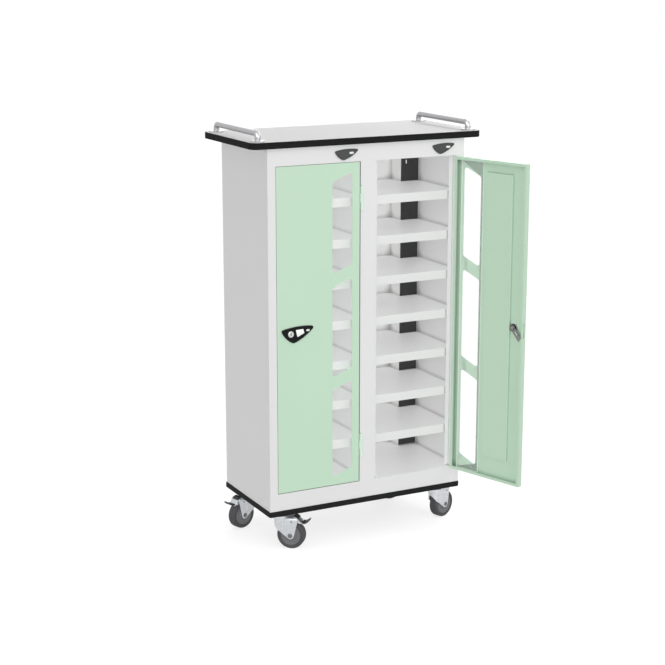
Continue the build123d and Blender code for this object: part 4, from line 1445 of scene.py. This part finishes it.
@dataclass
class Studio:
    """White surroundings, a pale floor, soft lamps and the camera."""

    floor_half: float = 14.0
    floor_glow: float = 0.55
    floor_white: float = 0.5
    floor_bounce: float = 0.35
    world_level: float = 0.36
    lens: float = 86.60
    sensor: float = 36.0
    clip: Point = (0.05, 100.0)
    stand: Spot = (-2.0774, -3.9819, 1.6387)
    yaw: float = 27.182
    pitch: float = 13.333

    def build(self) -> None:
        """Makes the camera, the world, the floor and the lamps."""
        bpy.context.scene.view_settings.view_transform = "Standard"
        self.camera()
        self.world()
        self.floor()
        self.fill("left_front_fill", (-0.6, -0.46, 0.655), 2.0)
        self.fill("front_fill", (0.15, -0.95, 0.27), 1.25)
        self.fill("back_right_fill", (0.6, 0.75, 0.2), 1.2)
        self.lamp("right_key", (1.7, -1.9, 2.2), (0.0, 0.0, 0.9), 1.2, 9.0)
        self.lamp("worktop_lamp", (1.0, 0.35, 1.75), (0.3, 0.0, 1.15), 0.3, 3.0)

    @staticmethod
    def stand_up(name: str, data: bpy.types.ID, ahead: Vector) -> Piece:
        """Puts a camera or a lamp in the scene, facing one way.

        Args:
            name: Name of the object.
            data: Camera or light that it shows.
            ahead: Direction that it faces.

        Returns:
            The object, at the origin.
        """
        item = bpy.data.objects.new(name, data)
        bpy.context.scene.collection.objects.link(item)
        item.rotation_mode = "QUATERNION"
        item.rotation_quaternion = ahead.to_track_quat("-Z", "Y")
        return item

    def camera(self) -> None:
        """Makes the camera at the photograph's viewpoint."""
        data = bpy.data.cameras.new("camera")
        data.lens, data.sensor_width = self.lens, self.sensor
        data.clip_start, data.clip_end = self.clip
        yaw, pitch = math.radians(self.yaw), math.radians(self.pitch)
        across, along = math.sin(yaw) * math.cos(pitch), math.cos(yaw) * math.cos(pitch)
        camera = self.stand_up("camera", data, Vector((across, along, -math.sin(pitch))))
        camera.location = self.stand
        bpy.context.scene.camera = camera

    @staticmethod
    def seen_ray(tree: Tree) -> Socket:
        """Finds the rays that show the background, straight or in gloss and clear sheet.

        Args:
            tree: Node tree to work in.

        Returns:
            A socket that is 1 for those rays and 0 for the rest.
        """
        path = add_node(tree, "ShaderNodeLightPath")
        seen = path.outputs["Is Camera Ray"]
        for ray in ("Is Glossy Ray", "Is Transmission Ray"):
            pair = {0: seen, 1: path.outputs[ray]}
            seen = add_node(tree, "ShaderNodeMath", links=pair, operation="MAXIMUM").outputs[0]
        return seen

    def world(self) -> None:
        """Makes white surroundings that light the object evenly."""
        world = bpy.data.worlds.new("white_surroundings")
        bpy.context.scene.world = world
        world.use_nodes = True
        tree = world.node_tree
        tree.nodes.clear()
        dim = {"Color": (1, 1, 1, 1), "Strength": self.world_level}
        soft = add_node(tree, "ShaderNodeBackground", dim)
        white = add_node(tree, "ShaderNodeBackground", {"Color": (1, 1, 1, 1), "Strength": 1.0})
        parts = {0: self.seen_ray(tree), 1: soft.outputs[0], 2: white.outputs[0]}
        mix = add_node(tree, "ShaderNodeMixShader", links=parts)
        add_node(tree, "ShaderNodeOutputWorld", links={0: mix.outputs[0]})

    def floor(self) -> None:
        """Makes the pale floor, which takes a soft shadow."""
        mesh = bmesh.new()
        bmesh.ops.create_grid(mesh, x_segments=4, y_segments=4, size=self.floor_half)
        data = bpy.data.meshes.new("floor")
        mesh.to_mesh(data)
        mesh.free()
        material = bpy.data.materials.new("pale_floor")
        material.use_nodes = True
        tree = material.node_tree
        tree.nodes.clear()
        paint, matt = (
            add_node(tree, "ShaderNodeBsdfDiffuse", {"Color": (level, level, level, 1)})
            for level in (self.floor_bounce, self.floor_white)
        )
        light = {"Color": (1, 1, 1, 1), "Strength": self.floor_glow}
        glow = add_node(tree, "ShaderNodeEmission", light)
        both = {0: matt.outputs[0], 1: glow.outputs[0]}
        seen = add_node(tree, "ShaderNodeAddShader", links=both)
        parts = {0: self.seen_ray(tree), 1: paint.outputs[0], 2: seen.outputs[0]}
        mix = add_node(tree, "ShaderNodeMixShader", links=parts)
        add_node(tree, "ShaderNodeOutputMaterial", links={0: mix.outputs[0]})
        data.materials.append(material)
        floor = bpy.data.objects.new("floor", data)
        bpy.context.scene.collection.objects.link(floor)

    def fill(self, name: str, source: Spot, strength: float) -> None:
        """Makes a broad fill light that casts no shadow, so that it also reaches into the bays.

        Args:
            name: Name of the light.
            source: Direction that it comes from.
            strength: Its strength.
        """
        data = bpy.data.lights.new(name, "SUN")
        data.energy = strength
        data.angle = math.radians(60)
        data.use_shadow = False
        self.stand_up(name, data, -Vector(source))

    def lamp(self, name: str, place: Spot, aim: Spot, size: float, power: float) -> None:
        """Makes a square soft lamp.

        Args:
            name: Name of the lamp.
            place: Where it hangs.
            aim: Point that it faces.
            size: Side of the square.
            power: Its power in watts.
        """
        data = bpy.data.lights.new(name, "AREA")
        data.shape = "SQUARE"
        data.size = size
        data.energy = power
        lamp = self.stand_up(name, data, Vector(aim) - Vector(place))
        lamp.location = place


def main() -> None:
    """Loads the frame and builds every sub-assembly in order."""
    logging.basicConfig(level=logging.INFO, format="%(name)s: %(message)s")
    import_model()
    Studio().build()
    finishes = Finishes()
    Worktop(finishes).build()
    Base(finishes).build()
    for side, left, rest in ((Side.LEFT, -305.0, 0.0), (Side.RIGHT, 0.0, 108.0)):
        Locker(finishes, side, left).build()
        LockerDoor(finishes, side, left, rest).build()
    casters = (
        (Corner.FRONT_LEFT, (-253.0, -102.5), -42.0, True),
        (Corner.BACK_LEFT, (-253.0, 102.5), 198.0, True),
        (Corner.FRONT_RIGHT, (253.0, -102.5), 20.0, False),
        (Corner.BACK_RIGHT, (253.0, 102.5), 150.0, False),
    )
    for corner, kingpin, turn, braked in casters:
        Caster(finishes, corner, kingpin, turn, braked).build()
    Fittings(finishes).build()


if __name__ == "__main__":
    main()
